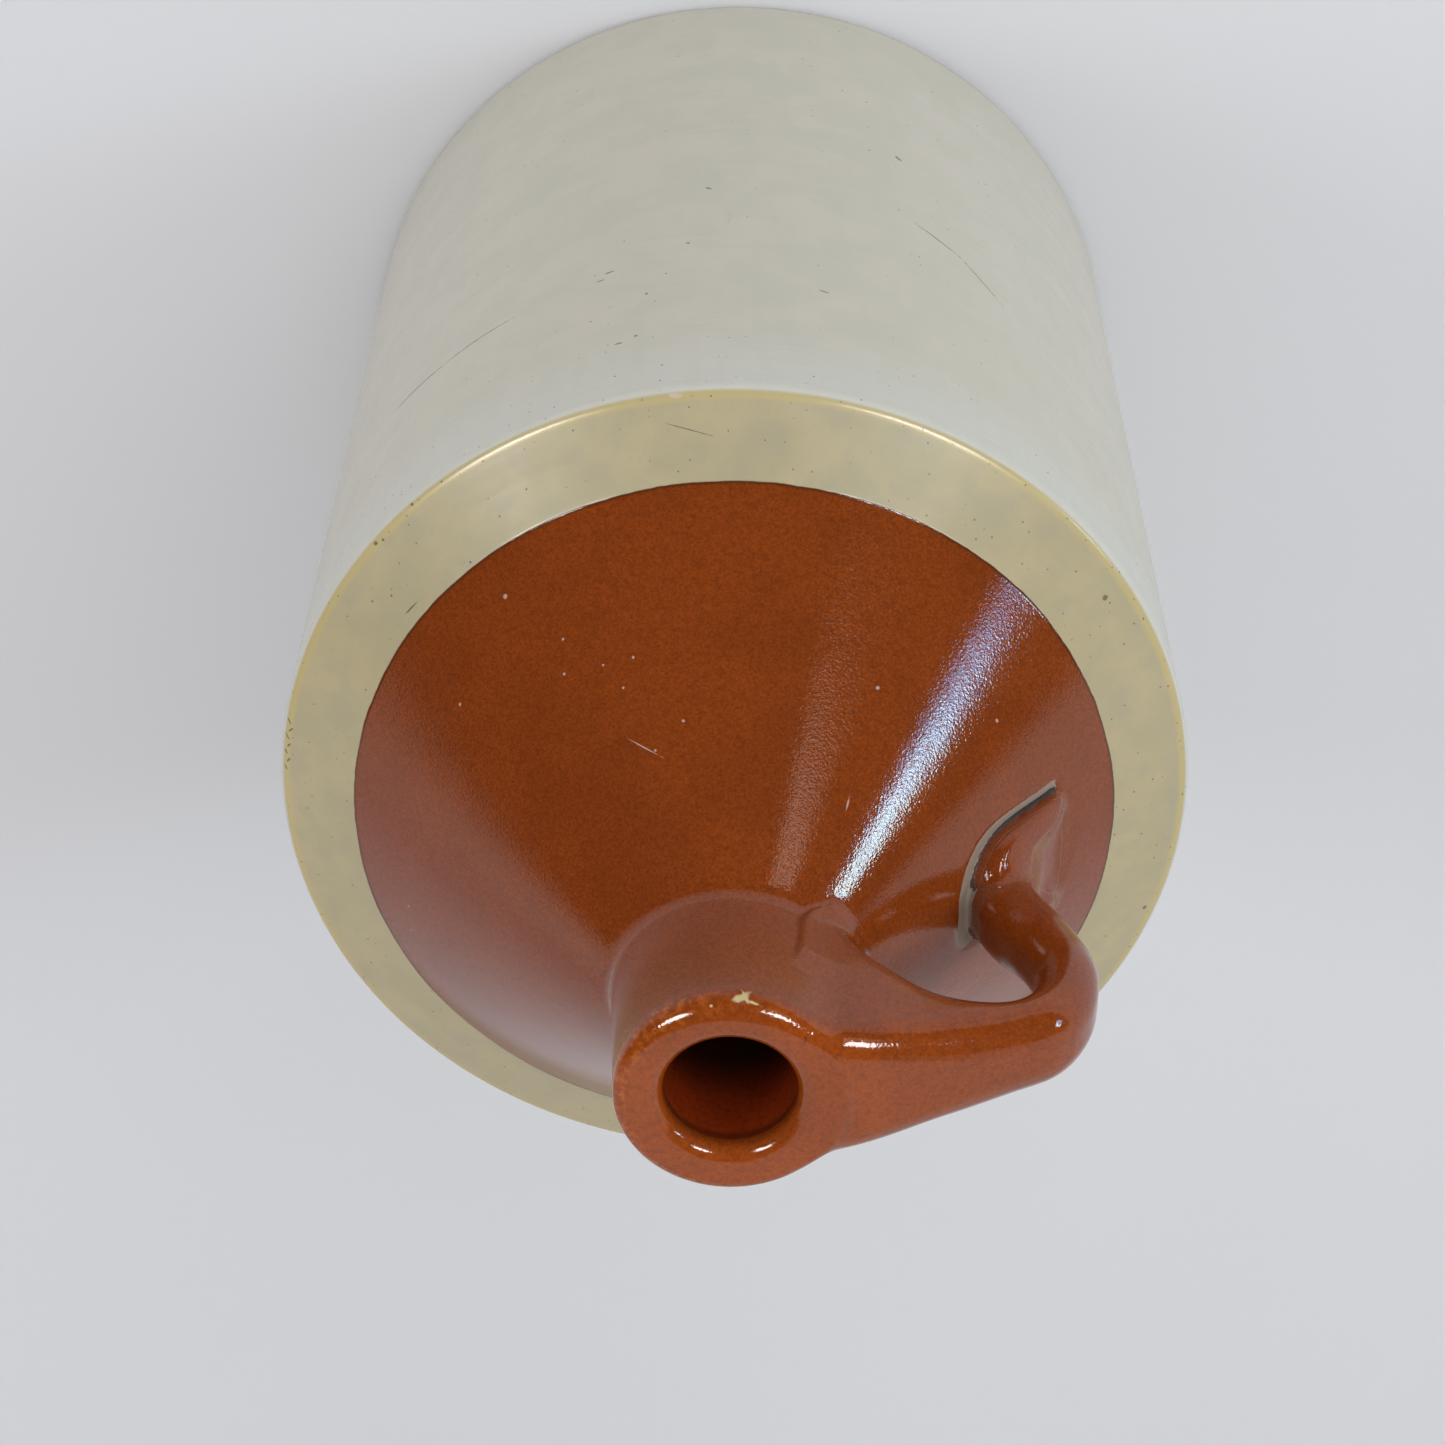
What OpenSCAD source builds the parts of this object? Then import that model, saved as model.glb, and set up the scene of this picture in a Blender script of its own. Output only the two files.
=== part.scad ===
// One-gallon stoneware jug with a conical shoulder, a short neck and one strap handle.
// Thrown, with a pulled handle, and fired as one piece. Millimetres, +Z up,
// origin at the centre of the base, handle towards +X.

/* [Body] */
// Outside diameter of the straight body
body_d = 172; // [160:1:184]
// Height of the outer edge of the shoulder
shoulder_z = 197; // [180:1:220]
// Thickness of the thrown wall
wall = 8; // [6:0.5:10]
// Thickness of the floor
floor_t = 9; // [7:0.5:12]
// Bevel round the edge of the base
base_bevel = 2.2; // [1:0.2:4]
// Rounding of the outer edge of the shoulder
rim_round = 2.6; // [1.5:0.1:4]

/* [Shoulder] */
// Width of the pale ledge, from the body's side to the edge of the brown glaze
ledge_w = 14.8; // [10:0.2:18]
// Rise of the pale ledge
ledge_rise = 6.6; // [4:0.2:9]
// Slope of the cone under the brown glaze, in degrees
cone_slope = 47; // [43:0.5:50]

/* [Neck] */
// Diameter of the neck at its foot
neck_foot_d = 42; // [39.6:0.2:45]
// Diameter of the neck at its lip
lip_d = 39.8; // [36:0.2:44]
// Height of the neck above the cone
neck_h = 31.4; // [28:0.2:38]
// Bore of the mouth
bore_d = 22.6; // [20:0.2:27]
// Rounding of the lip, outside
lip_round = 3; // [2:0.1:4.5]
// Rounding of the lip, inside
mouth_round = 2.8; // [1:0.1:3.5]
// Fillet where the neck grows out of the cone
neck_fillet = 6; // [4:0.5:10]

/* [Handle] */
// Distance from the jug's axis to the outside of the handle
reach = 63.6; // [56:0.2:72]
// Thickness of the strap at its top bend
strap_t = 11.4; // [9:0.2:14]
// Width of the strap at its top bend
strap_w = 17.6; // [14:0.2:20]
// Width of the handle where it joins the neck
root_w = 29.4; // [24:0.5:34]
// Width of the strap at its waist, just above the cone
waist_w = 13; // [10:0.2:15]
// Thickness of the strap at its waist
waist_t = 11; // [8:0.2:13]
// Distance from the jug's axis to the strap's landing on the cone
landing_r = 48; // [42:0.5:54]
// Rounding along the edges of the strap
strap_corner = 7; // [4:0.2:8]

/* [Pressed end] */
// Width of the pressed end of the handle
tail_w = 26.8; // [22:0.2:31]
// Length of the pressed end along the cone
tail_l = 27; // [24:0.5:31]
// Height of the two lips beside the thumb mark, where the strap runs out
tail_lip = 2.6; // [1.5:0.1:4]
// Clay left under the thumb mark
tail_web = 0.8; // [0.4:0.1:1.4]

/* [Hidden] */
$fn = 96;

body_r = body_d / 2;
brown_r = body_r - ledge_w;
brown_z = shoulder_z + ledge_rise;
neck_foot_r = neck_foot_d / 2;
lip_r = lip_d / 2;
bore_r = bore_d / 2;

// Height of the outer face of the cone at a distance from the axis
function cone_z(r) = brown_z + (brown_r - r) * tan(cone_slope);

neck_foot_z = cone_z(neck_foot_r);
lip_z = neck_foot_z + neck_h;
// The wall is measured square to the cone, so it is thicker upright
cone_wall_z = wall / cos(cone_slope);

arc_steps = 6;
// Points on an arc about a centre, from one angle to another
function arc(c, r, a0, a1) =
    [for (i = [0:arc_steps]) let (a = a0 + (a1 - a0) * i / arc_steps) c + r * [cos(a), sin(a)]];

// Centre of the fillet: one radius off the cone and one off the side of the neck
fillet_r = neck_foot_r + neck_fillet;
fillet_z = cone_z(fillet_r) + neck_fillet / cos(cone_slope);
ledge_slope = atan(ledge_rise / (ledge_w - rim_round));

// The outside from the axis of the base, up the wall, to the top of the lip
outer_profile = concat(
    [[0, 0], [body_r - base_bevel, 0], [body_r, base_bevel]],
    arc([body_r - rim_round, shoulder_z - rim_round], rim_round, 0, 90 - ledge_slope),
    [[brown_r, brown_z]],
    arc([fillet_r, fillet_z], neck_fillet, 270 - cone_slope, 180),
    arc([lip_r - lip_round, lip_z - lip_round], lip_round, 0, 90),
    [[0, lip_z]]
);

// The room inside: straight wall, rounded shoulder, cone and bore, flaring at the mouth
inner_r = body_r - wall;
// Rounding inside, at the floor and under the shoulder
room_round = 9;
room_top_r = inner_r - room_round;
room_top_z =
    cone_z(room_top_r + room_round * sin(cone_slope)) - cone_wall_z
    + room_round * (1 - cos(cone_slope));
bore_foot_z = cone_z(bore_r) - cone_wall_z;
// How far the mouth's cut runs past the lip
over = 1;
inner_profile = concat(
    [[0, floor_t], [inner_r - room_round, floor_t]],
    arc([inner_r - room_round, floor_t + room_round], room_round, 270, 360),
    arc([room_top_r, room_top_z - room_round], room_round, 0, 90 - cone_slope),
    [[bore_r, bore_foot_z]],
    arc([bore_r + mouth_round, lip_z - mouth_round], mouth_round, 180, 90),
    [[bore_r + mouth_round, lip_z + over], [0, lip_z + over]]
);

// Stations along the handle: a point on its top, the point opposite on its underside,
// half its width and the share of the strap's full rounding. Both points are a distance
// from the axis and a height.
bend_z = lip_z - 29.7;
landing_z = cone_z(landing_r);
root_under_z = neck_foot_z - 3;
function across(top, angle, thick, half_width, rounding) =
    [top, top + thick * [cos(angle), sin(angle)], half_width, rounding];
handle_stations = [
    [[lip_r * 0.3, lip_z - 0.3], [lip_r * 0.3, root_under_z], root_w * 0.52, 0.6],
    [[lip_r * 0.72, lip_z - 0.4], [lip_r * 0.72, root_under_z], root_w / 2, 0.6],
    [[neck_foot_r, lip_z - 1], [neck_foot_r - 0.7, root_under_z + 4], root_w * 0.45, 0.6],
    [[neck_foot_r + 5.8, lip_z - 2.3], [neck_foot_r + 4.3, lip_z - 25.2], root_w * 0.41, 0.75],
    [[neck_foot_r + 12.3, lip_z - 4.2], [neck_foot_r + 11.1, lip_z - 21.7], strap_w * 0.6, 0.9],
    [[neck_foot_r + 19.3, lip_z - 6.5], [neck_foot_r + 18.4, lip_z - 20.3], strap_w * 0.555, 1],
    [[reach - 15.6, lip_z - 9.7], [reach - 17, lip_z - 21], strap_w * 0.51, 1],
    across([reach - 7.1, bend_z + 15.5], 238, strap_t, strap_w / 2, 1),
    across([reach - 2.1, bend_z + 8.5], 217, strap_t, strap_w * 0.49, 1),
    across([reach, bend_z], 196, strap_t * 0.97, strap_w * 0.483, 1),
    across([reach - 0.4, bend_z - 7], 182, strap_t, strap_w * 0.455, 1),
    across([reach - 2.4, bend_z - 13], 172, strap_t, strap_w * 0.43, 0.9),
    across([landing_r + 10.6, landing_z + 11.5], 167, waist_t * 1.17, waist_w * 0.53, 0.8),
    across([landing_r + 7.8, landing_z + 6], 168, waist_t * 1.14, waist_w * 0.51, 0.75),
    across([landing_r + 5.8, landing_z + 0.5], 170, waist_t * 1.07, waist_w * 0.51, 0.7),
    across([landing_r + 4.5, landing_z - 6.5], 174, waist_t * 0.95, waist_w * 0.55, 0.7),
    across([landing_r + 3, landing_z - 13.5], 180, waist_t * 0.82, waist_w * 0.585, 0.7)
];
strap_steps = 3;
corner_steps = 5;

// A smooth curve through four values, between the second and the third
function through(a, b, c, d, t) =
    0.5 * (2 * b + (c - a) * t + (2 * a - 5 * b + 4 * c - d) * t * t + (3 * b - a - 3 * c + d) * t * t * t);
function smooth(list) =
    let (last = len(list) - 1)
    concat(
        [for (i = [0:last - 1], k = [0:strap_steps - 1])
            through(list[max(i - 1, 0)], list[i], list[i + 1], list[min(i + 2, last)], k / strap_steps)],
        [list[last]]
    );

// One closed ring of points: a rectangle with round corners between top and underside
function strap_ring(st) =
    let (
        middle = (st[0] + st[1]) / 2,
        t = norm(st[0] - st[1]) / 2,
        up = (st[0] - st[1]) / (2 * t),
        w = st[2],
        corner = min(strap_corner * st[3], 0.95 * t, 0.95 * w)
    )
    [for (quarter = [0:3], j = [0:corner_steps])
        let (
            a = 90 * (quarter + j / corner_steps),
            side = quarter == 0 || quarter == 1 ? 1 : -1,
            rise = quarter == 0 || quarter == 3 ? 1 : -1,
            y = side * (w - corner) + corner * sin(a),
            h = rise * (t - corner) + corner * cos(a)
        )
        [middle[0] + up[0] * h, y, middle[1] + up[1] * h]];

// Skin over a stack of rings that have the same number of points, with both ends closed
module loft(rings) {
    n = len(rings[0]);
    last = len(rings) - 1;
    sides = [
        for (i = [0:last - 1], j = [0:n - 1])
            let (a = i * n + j, b = i * n + (j + 1) % n)
            each [[a, b, b + n], [a, b + n, a + n]]
    ];
    ends = [[for (j = [n - 1:-1:0]) j], [for (j = [0:n - 1]) last * n + j]];
    polyhedron(points = [for (ring = rings) each ring], faces = concat(sides, ends));
}

module strap() {
    loft([for (st = smooth(handle_stations)) strap_ring(st)]);
}

// The pressed end lies on the cone. Stations: distance from the axis, half width,
// height of the two lips, height of the web between them, place of the lips across the width
heel_r = landing_r - 5;
tail_out = tail_l * cos(cone_slope);
sink = 3;
tail_stations = [
    [heel_r, tail_w * 0.06, -sink / 3, -sink / 3, 0.5],
    [heel_r + tail_out * 0.03, tail_w * 0.15, tail_lip * 0.8, tail_lip * 0.8, 0.6],
    [heel_r + tail_out * 0.08, tail_w * 0.24, tail_lip * 1.2, tail_lip * 1.2, 0.6],
    [heel_r + tail_out * 0.16, tail_w * 0.34, tail_lip * 1.2, tail_lip * 1.2, 0.6],
    [heel_r + tail_out * 0.28, tail_w * 0.42, tail_lip * 1.1, tail_lip * 1.1, 0.54],
    [heel_r + tail_out * 0.43, tail_w * 0.47, tail_lip, tail_lip, 0.48],
    [heel_r + tail_out * 0.58, tail_w * 0.485, tail_lip * 0.85, tail_web * 1.5, 0.6],
    [heel_r + tail_out * 0.74, tail_w * 0.495, tail_lip * 0.7, tail_web, 0.62],
    [heel_r + tail_out * 0.88, tail_w * 0.5, tail_lip * 0.5, tail_web * 0.6, 0.72],
    [heel_r + tail_out, tail_w * 0.44, tail_web * 0.3, tail_web * 0.3, 0.84],
    [heel_r + tail_out * 1.04, tail_w * 0.38, -sink / 3, -sink / 3, 0.84]
];

// A point beside the handle's centre plane and above the cone, both in millimetres
function on_cone(r, side, height) =
    let (
        a = side / r * 180 / PI,
        out = r + height * sin(cone_slope)
    )
    [out * cos(a), out * sin(a), cone_z(r) + height * cos(cone_slope)];

// How suddenly the wall outside the lips drops to the cone
wall_drop = 5;
// Height of the pressed end across its width, where u runs from 0 to 1 at either side
function tail_height(st, u) =
    u < st[4]
        ? st[3] + (st[2] - st[3]) * (1 - cos(180 * u / st[4])) / 2
        : st[2] - (st[2] + sink) * pow((u - st[4]) / (1 - st[4]), wall_drop);

tail_points = 8;
function tail_ring(st) = concat(
    [for (j = [-tail_points:tail_points])
        let (u = j / tail_points)
        on_cone(st[0], st[1] * u, tail_height(st, abs(u)))],
    [for (j = [1, 0, -1]) on_cone(st[0], st[1] * j * 0.7, -sink - 1)]
);

module pressed_end() {
    loft([for (st = smooth(tail_stations)) tail_ring(st)]);
}

module jug() {
    color("tan")
    difference() {
        union() {
            rotate_extrude() polygon(outer_profile);
            color("sienna") strap();
            color("sienna") pressed_end();
        }
        rotate_extrude() polygon(inner_profile);
    }
}

jug();
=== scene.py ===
# %% [markdown]
# A one-gallon stoneware jug: a thrown body with a cream glaze, a cone and neck dipped
# in a glossy iron-brown glaze, and a strap handle that was pulled, pressed on and smeared
# into the cone with a thumb. All of it is one fired piece, so it becomes one closed mesh.
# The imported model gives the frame. Sizes of the jug are in millimetres here, and MM turns
# them into Blender's metres. Only the floor and the lamps are given in metres.

# %% Load the frame
import math

import bpy
import numpy as np
from mathutils import Matrix, Vector


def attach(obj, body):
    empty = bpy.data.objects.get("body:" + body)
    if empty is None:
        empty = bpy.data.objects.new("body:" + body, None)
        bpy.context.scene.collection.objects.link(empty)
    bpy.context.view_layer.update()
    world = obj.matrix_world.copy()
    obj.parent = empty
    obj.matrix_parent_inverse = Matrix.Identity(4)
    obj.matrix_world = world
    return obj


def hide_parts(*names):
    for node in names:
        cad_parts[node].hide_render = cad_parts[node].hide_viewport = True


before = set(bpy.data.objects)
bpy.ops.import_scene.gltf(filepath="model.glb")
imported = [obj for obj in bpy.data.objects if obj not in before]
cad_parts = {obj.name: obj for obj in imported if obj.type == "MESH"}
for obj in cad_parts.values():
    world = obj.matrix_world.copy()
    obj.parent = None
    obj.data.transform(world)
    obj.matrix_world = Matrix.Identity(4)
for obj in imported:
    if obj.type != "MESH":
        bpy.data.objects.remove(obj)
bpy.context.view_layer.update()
MM = 0.001
scene = bpy.context.scene
print("nodes in the frame:", sorted(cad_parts))

# %% [markdown]
# The photograph looks steeply down on the shoulder, and the body runs away from the mouth
# towards the top of the picture. So the camera stands high above the jug on its +Y side,
# and +Y is up in the picture. Place and lens were chosen together: a short lens close by
# would make the far base look much narrower than the shoulder, and a long one would not
# make it narrow enough.

# %% Camera
CAMERA_MM = Vector((2.92, 339.98, 714.25))
AIM_MM = Vector((-2.18, 16.84, 196.9))
LENS_MM = 81.28
SENSOR_MM = 36


def look_at(position, target, picture_up):
    """A camera matrix that looks at a target with a chosen direction up in the picture."""
    back = (position - target).normalized()
    right = picture_up.cross(back).normalized()
    up = back.cross(right)
    turn = Matrix((right, up, back)).transposed().to_4x4()
    return Matrix.Translation(position * MM) @ turn


camera_data = bpy.data.cameras.new("camera")
camera_data.lens = LENS_MM
camera_data.sensor_width = SENSOR_MM
camera = bpy.data.objects.new("camera", camera_data)
camera.matrix_world = look_at(CAMERA_MM, AIM_MM, Vector((0, 1, 0)))
scene.collection.objects.link(camera)
scene.camera = camera
print("camera is", round((CAMERA_MM - AIM_MM).length), "mm from the point it looks at")

# %% [markdown]
# The driving sizes are the potter's own: how wide the body is thrown, where the shoulder
# turns, how steep the cone is and how wide the mouth. They repeat the part's sizes, so the
# mesh lies on the solid. The small functions below give the height of the cone and points
# along a smooth curve through a few chosen ones.

# %% Sizes of the jug
BODY_R = 86
SHOULDER_Z = 197
WALL = 8
FLOOR = 9
BASE_BEVEL = 2.2
RIM_ROUND = 2.6
LEDGE_W = 14.8
LEDGE_RISE = 6.6
CONE_SLOPE = math.radians(47)
NECK_FOOT_R = 21
LIP_R = 19.9
NECK_H = 31.4
BORE_R = 11.3
MOUTH_ROUND = 2.8

BROWN_R = BODY_R - LEDGE_W
BROWN_Z = SHOULDER_Z + LEDGE_RISE
SLOPE_TAN = math.tan(CONE_SLOPE)
SLOPE_SIN = math.sin(CONE_SLOPE)
SLOPE_COS = math.cos(CONE_SLOPE)


def cone_z(r):
    """Height of the cone's face at a distance from the axis."""
    return BROWN_Z + (BROWN_R - r) * SLOPE_TAN


LIP_Z = cone_z(NECK_FOOT_R) + NECK_H


def smooth_curve(points, steps):
    """Points along a smooth curve through the given ones (Catmull-Rom)."""
    p = np.asarray(points, float)
    p = np.vstack([p[:1], p, p[-1:]])
    t = (np.arange(steps) / steps)[:, None]
    parts = []
    for a, b, c, d in zip(p, p[1:], p[2:], p[3:]):
        bend = (2 * a - 5 * b + 4 * c - d) * t**2 + (3 * b - a - 3 * c + d) * t**3
        parts.append(0.5 * (2 * b + (c - a) * t + bend))
    return np.vstack(parts + [p[-1:]])


print("lip at", round(LIP_Z, 2), "mm above the base")

# %% [markdown]
# The upper jug is thrown, but not quite round, and a handle grows out of it. A lathe profile
# can't do that, and modelling by hand would take hundreds of points. A signed distance can:
# a number for each place in space, negative inside the clay, positive outside and zero on
# the surface. The smaller of two distances joins two forms, a softened smaller one joins
# them with a fillet, and the larger of two keeps only the clay that lies inside both.

# %% Join and round
def soft_join(a, b, reach):
    """Joins two forms with a fillet about as wide as reach."""
    near = np.maximum(reach - np.abs(a - b), 0) / reach
    return np.minimum(a, b) - near**2 * reach / 4


def rounded_corner(a, b, radius):
    """The clay that lies inside both a and b, with a round edge where they meet."""
    a = a + radius
    b = b + radius
    outside = np.hypot(np.maximum(a, 0), np.maximum(b, 0))
    return np.minimum(np.maximum(a, b), 0) + outside - radius


print("two forms 1 mm away join to", soft_join(np.array([1.0]), np.array([1.0]), 4).tolist(), "mm")

# %% [markdown]
# The neck was thrown a little askew: its foot stands to one side of the jug's axis and its
# lip to the other. It also tapers towards the lip, and on the +Y side the lip slopes in a
# flat flank. So its distance is measured from a centre that moves with the height, and the
# flank cuts deeper where a place faces +Y.

# %% Neck and lip
NECK_FOOT_Z = cone_z(NECK_FOOT_R)
LEAN_FROM, LEAN_TO = -0.7, 0.65
LIP_FLARE = 0.35
FLANK_H = 3.2
FLANK_TILT = math.radians(54)
TOP_ROUND = 1.5
FLANK_ROUND = 0.6


def lean(z):
    """How far the neck's centre is out of line at a height: it was thrown a little askew."""
    return np.interp(z, [NECK_FOOT_Z - 6, LIP_Z], [LEAN_FROM, LEAN_TO])


def neck_distance(x, y, z):
    """Neck and lip. The lip has a sloping flank on its +Y side."""
    y = y - lean(z)
    r = np.hypot(x, y)
    facing = y / r
    front = np.clip(facing, 0, 1) ** 1.3
    lip_r = LIP_R - LIP_FLARE * (1 - front)
    taper = (NECK_FOOT_R - lip_r) / (LIP_Z - NECK_FOOT_Z)
    side = r - NECK_FOOT_R + taper * np.clip(z - NECK_FOOT_Z, 0, None)
    top = z - LIP_Z
    flank = (r - lip_r) * math.sin(FLANK_TILT) + (top + FLANK_H * front) * math.cos(FLANK_TILT)
    return rounded_corner(rounded_corner(side, flank, FLANK_ROUND), top, TOP_ROUND)


print("the neck leans by", LEAN_TO - LEAN_FROM, "mm on its way up to the lip")

# %% [markdown]
# Where the handle was pressed on to the neck, its clay was smeared out and ends in a low
# raised edge that runs up the neck. Here it is a pad about a millimetre thick, as far round
# the neck as the edge reaches at each height. To add clay, its thickness is subtracted from
# the distance.

# %% Clay of the handle's root
ROOT_EDGE_Z = [254, 256, 257.5, 260.5, 266, 271, 274]
ROOT_EDGE = np.radians([42, 47.5, 52.5, 56.5, 57.5, 58.5, 61])
ROOT_PAD = 1.2


def root_gap(x, y, z):
    """Distance inside the raised edge of the handle's root on the neck, negative outside."""
    return (np.interp(z, ROOT_EDGE_Z, ROOT_EDGE) - np.abs(np.arctan2(y, x))) * NECK_FOOT_R


def root_pad(x, y, z):
    """Clay of the handle's root, smeared on to the neck as far as the raised edge."""
    step = np.clip(root_gap(x, y, z) / 0.8, 0, 1) * np.clip((z - ROOT_EDGE_Z[0]) / 1.2, 0, 1)
    near_neck = np.clip((NECK_FOOT_R + 5 - np.hypot(x, y)) / 3, 0, 1)
    return ROOT_PAD * step * near_neck * np.clip((ROOT_EDGE_Z[-1] - z) / 4, 0, 1)


print("the pad reaches", round(math.degrees(ROOT_EDGE[-1])), "degrees round the neck at the top")

# %% [markdown]
# Cone, neck and pad together are the thrown form. The bore is cut out of it afterwards: a
# distance that is positive in the bore and negative in the clay. Its edge is rounded, and
# near the lip it follows the neck's lean and flares a little. Further down it stays centred,
# because the room inside is a plain lathe form that is joined on there.

# %% Thrown form and bore
NECK_BLEND = 1.3


def thrown_distance(x, y, z, raised):
    """Signed distance to cone, neck and lip; raised is clay added on the cone."""
    cone = (z - cone_z(np.hypot(x, y))) * SLOPE_COS - raised
    return soft_join(cone, neck_distance(x, y, z), NECK_BLEND) - root_pad(x, y, z)


BORE_LEAN_Z = 268
MOUTH_FLARE = 0.35


def mouth_distance(x, y, z):
    """Negative in the clay round the bore, positive in the bore itself."""
    near_lip = np.clip((z - BORE_LEAN_Z) / (LIP_Z - BORE_LEAN_Z), 0, 1) ** 1.5
    front = np.clip(y / np.hypot(x, y), 0, 1)
    r = np.hypot(x, y - LEAN_TO * near_lip)
    return rounded_corner(BORE_R + MOUTH_FLARE * front * near_lip - r, z - LIP_Z, MOUTH_ROUND)


print("clay between bore and neck at the lip:", round(LIP_R - BORE_R, 1), "mm")

# %% [markdown]
# A chip in the lip is the dent that a small ball would leave. The ball's centre lies a
# little outside the clay, so the dent is shallow and has a sharp rim, like a flake.

# %% Distance to the chip
CHIP_AT = (1.8, 20.9, LIP_Z - 1.7)
CHIP_R = 1.9


def chip_distance(x, y, z):
    """Positive inside the ball that cuts the chip."""
    return CHIP_R - np.sqrt((x - CHIP_AT[0]) ** 2 + (y - CHIP_AT[1]) ** 2 + (z - CHIP_AT[2]) ** 2)


print("depth of the chip in mm:", round(CHIP_R - float(neck_distance(*CHIP_AT)), 2))

# %% [markdown]
# The handle is a pulled strap: a flat ribbon of clay that leaves the neck almost as wide as
# the neck itself, narrows, bends down and lands on the cone. Seen from the side it is an
# outline between a top line and an underside line, and each place along it has its own
# width. Chosen stations give both lines and the width, and the long edges are rounded the
# way wet fingers leave them.

# %% Stations along the strap
REACH = 63.6
STRAP_T = 11.4
STRAP_W = 17.6
ROOT_W = 29.4
WAIST_W = 13
WAIST_T = 11
LANDING_R = 48
STRAP_CORNER = 7
BEND_Z = LIP_Z - 29.7
LANDING_Z = cone_z(LANDING_R)
ROOT_UNDER_Z = cone_z(NECK_FOOT_R) - 3


def across(r, z, degrees, thick, half_width, rounding):
    """A station: a top point, the one opposite, half the width and share of the rounding."""
    a = math.radians(degrees)
    return [r, z, r + thick * math.cos(a), z + thick * math.sin(a), half_width, rounding]


STATIONS = [
    [LIP_R * 0.3, LIP_Z - 0.3, LIP_R * 0.3, ROOT_UNDER_Z, ROOT_W * 0.52, 0.6],
    [LIP_R * 0.72, LIP_Z - 0.4, LIP_R * 0.72, ROOT_UNDER_Z, ROOT_W / 2, 0.6],
    [NECK_FOOT_R, LIP_Z - 1, NECK_FOOT_R - 0.7, ROOT_UNDER_Z + 4, ROOT_W * 0.45, 0.6],
    [NECK_FOOT_R + 5.8, LIP_Z - 2.3, NECK_FOOT_R + 4.3, LIP_Z - 25.2, ROOT_W * 0.41, 0.75],
    [NECK_FOOT_R + 12.3, LIP_Z - 4.2, NECK_FOOT_R + 11.1, LIP_Z - 21.7, STRAP_W * 0.6, 0.9],
    [NECK_FOOT_R + 19.3, LIP_Z - 6.5, NECK_FOOT_R + 18.4, LIP_Z - 20.3, STRAP_W * 0.555, 1],
    [REACH - 15.6, LIP_Z - 9.7, REACH - 17, LIP_Z - 21, STRAP_W * 0.51, 1],
    across(REACH - 7.1, BEND_Z + 15.5, 238, STRAP_T, STRAP_W / 2, 1),
    across(REACH - 2.1, BEND_Z + 8.5, 217, STRAP_T, STRAP_W * 0.49, 1),
    across(REACH, BEND_Z, 196, STRAP_T * 0.97, STRAP_W * 0.483, 1),
    across(REACH - 0.4, BEND_Z - 7, 182, STRAP_T, STRAP_W * 0.455, 1),
    across(REACH - 2.4, BEND_Z - 13, 172, STRAP_T, STRAP_W * 0.43, 0.9),
    across(LANDING_R + 10.6, LANDING_Z + 11.5, 167, WAIST_T * 1.17, WAIST_W * 0.53, 0.8),
    across(LANDING_R + 7.8, LANDING_Z + 6, 168, WAIST_T * 1.14, WAIST_W * 0.51, 0.75),
    across(LANDING_R + 5.8, LANDING_Z + 0.5, 170, WAIST_T * 1.07, WAIST_W * 0.51, 0.7),
    across(LANDING_R + 4.5, LANDING_Z - 6.5, 174, WAIST_T * 0.95, WAIST_W * 0.55, 0.7),
    across(LANDING_R + 3, LANDING_Z - 13.5, 180, WAIST_T * 0.82, WAIST_W * 0.585, 0.7),
]

strap_line = smooth_curve(STATIONS, 6)
strap_outline = np.vstack([strap_line[:, 0:2], strap_line[::-1, 2:4]])
strap_middle = (strap_line[:, 0:2] + strap_line[:, 2:4]) / 2
print("strap outline of", len(strap_outline), "points")

# %% [markdown]
# A distance to an outline is slow to work out, because every place is compared with every
# edge. The space has two million places, but both the strap and its pressed end are drawn
# flat, so the distance is worked out once on a flat grid and read back from there.

# %% Distance to an outline, and a table of it
def outline_distance(points, outline):
    """Signed distance of flat points to a closed outline, negative inside."""
    best = np.full(len(points), np.inf)
    inside = np.zeros(len(points), bool)
    x, y = points[:, 0], points[:, 1]
    for (ax, ay), (bx, by) in zip(outline, np.roll(outline, -1, axis=0)):
        dx, dy = bx - ax, by - ay
        along = np.clip(((x - ax) * dx + (y - ay) * dy) / (dx * dx + dy * dy + 1e-12), 0, 1)
        best = np.minimum(best, (x - ax - along * dx) ** 2 + (y - ay - along * dy) ** 2)
        if ay != by:
            crosses = (ay > y) != (by > y)
            inside ^= crosses & (x < ax + (y - ay) * dx / dy)
    return np.where(inside, -1, 1) * np.sqrt(best)


class FlatTable:
    """Values on a flat grid, read back between the grid's points."""

    def __init__(self, low, high, step, values_of):
        self.low = np.array(low, float)
        self.step = step
        self.shape = tuple(int(math.ceil((h - l) / step)) + 1 for l, h in zip(low, high))
        i, j = np.meshgrid(*(np.arange(n) for n in self.shape), indexing="ij")
        points = self.low + step * np.stack([i.ravel(), j.ravel()], 1)
        self.values = [v.reshape(self.shape) for v in values_of(points)]

    def read(self, x, y):
        u = np.clip((x - self.low[0]) / self.step, 0, self.shape[0] - 1.001)
        v = np.clip((y - self.low[1]) / self.step, 0, self.shape[1] - 1.001)
        i, j = u.astype(int), v.astype(int)
        u, v = u - i, v - j
        out = []
        for t in self.values:
            near = t[i, j] * (1 - v) + t[i, j + 1] * v
            far = t[i + 1, j] * (1 - v) + t[i + 1, j + 1] * v
            out.append(near * (1 - u) + far * u)
        return out


unit_square = np.array([(0, 0), (1, 0), (1, 1), (0, 1)])
middle = outline_distance(np.array([(0.5, 0.5)]), unit_square)
print("the middle of a unit square lies at", middle.tolist())

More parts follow.
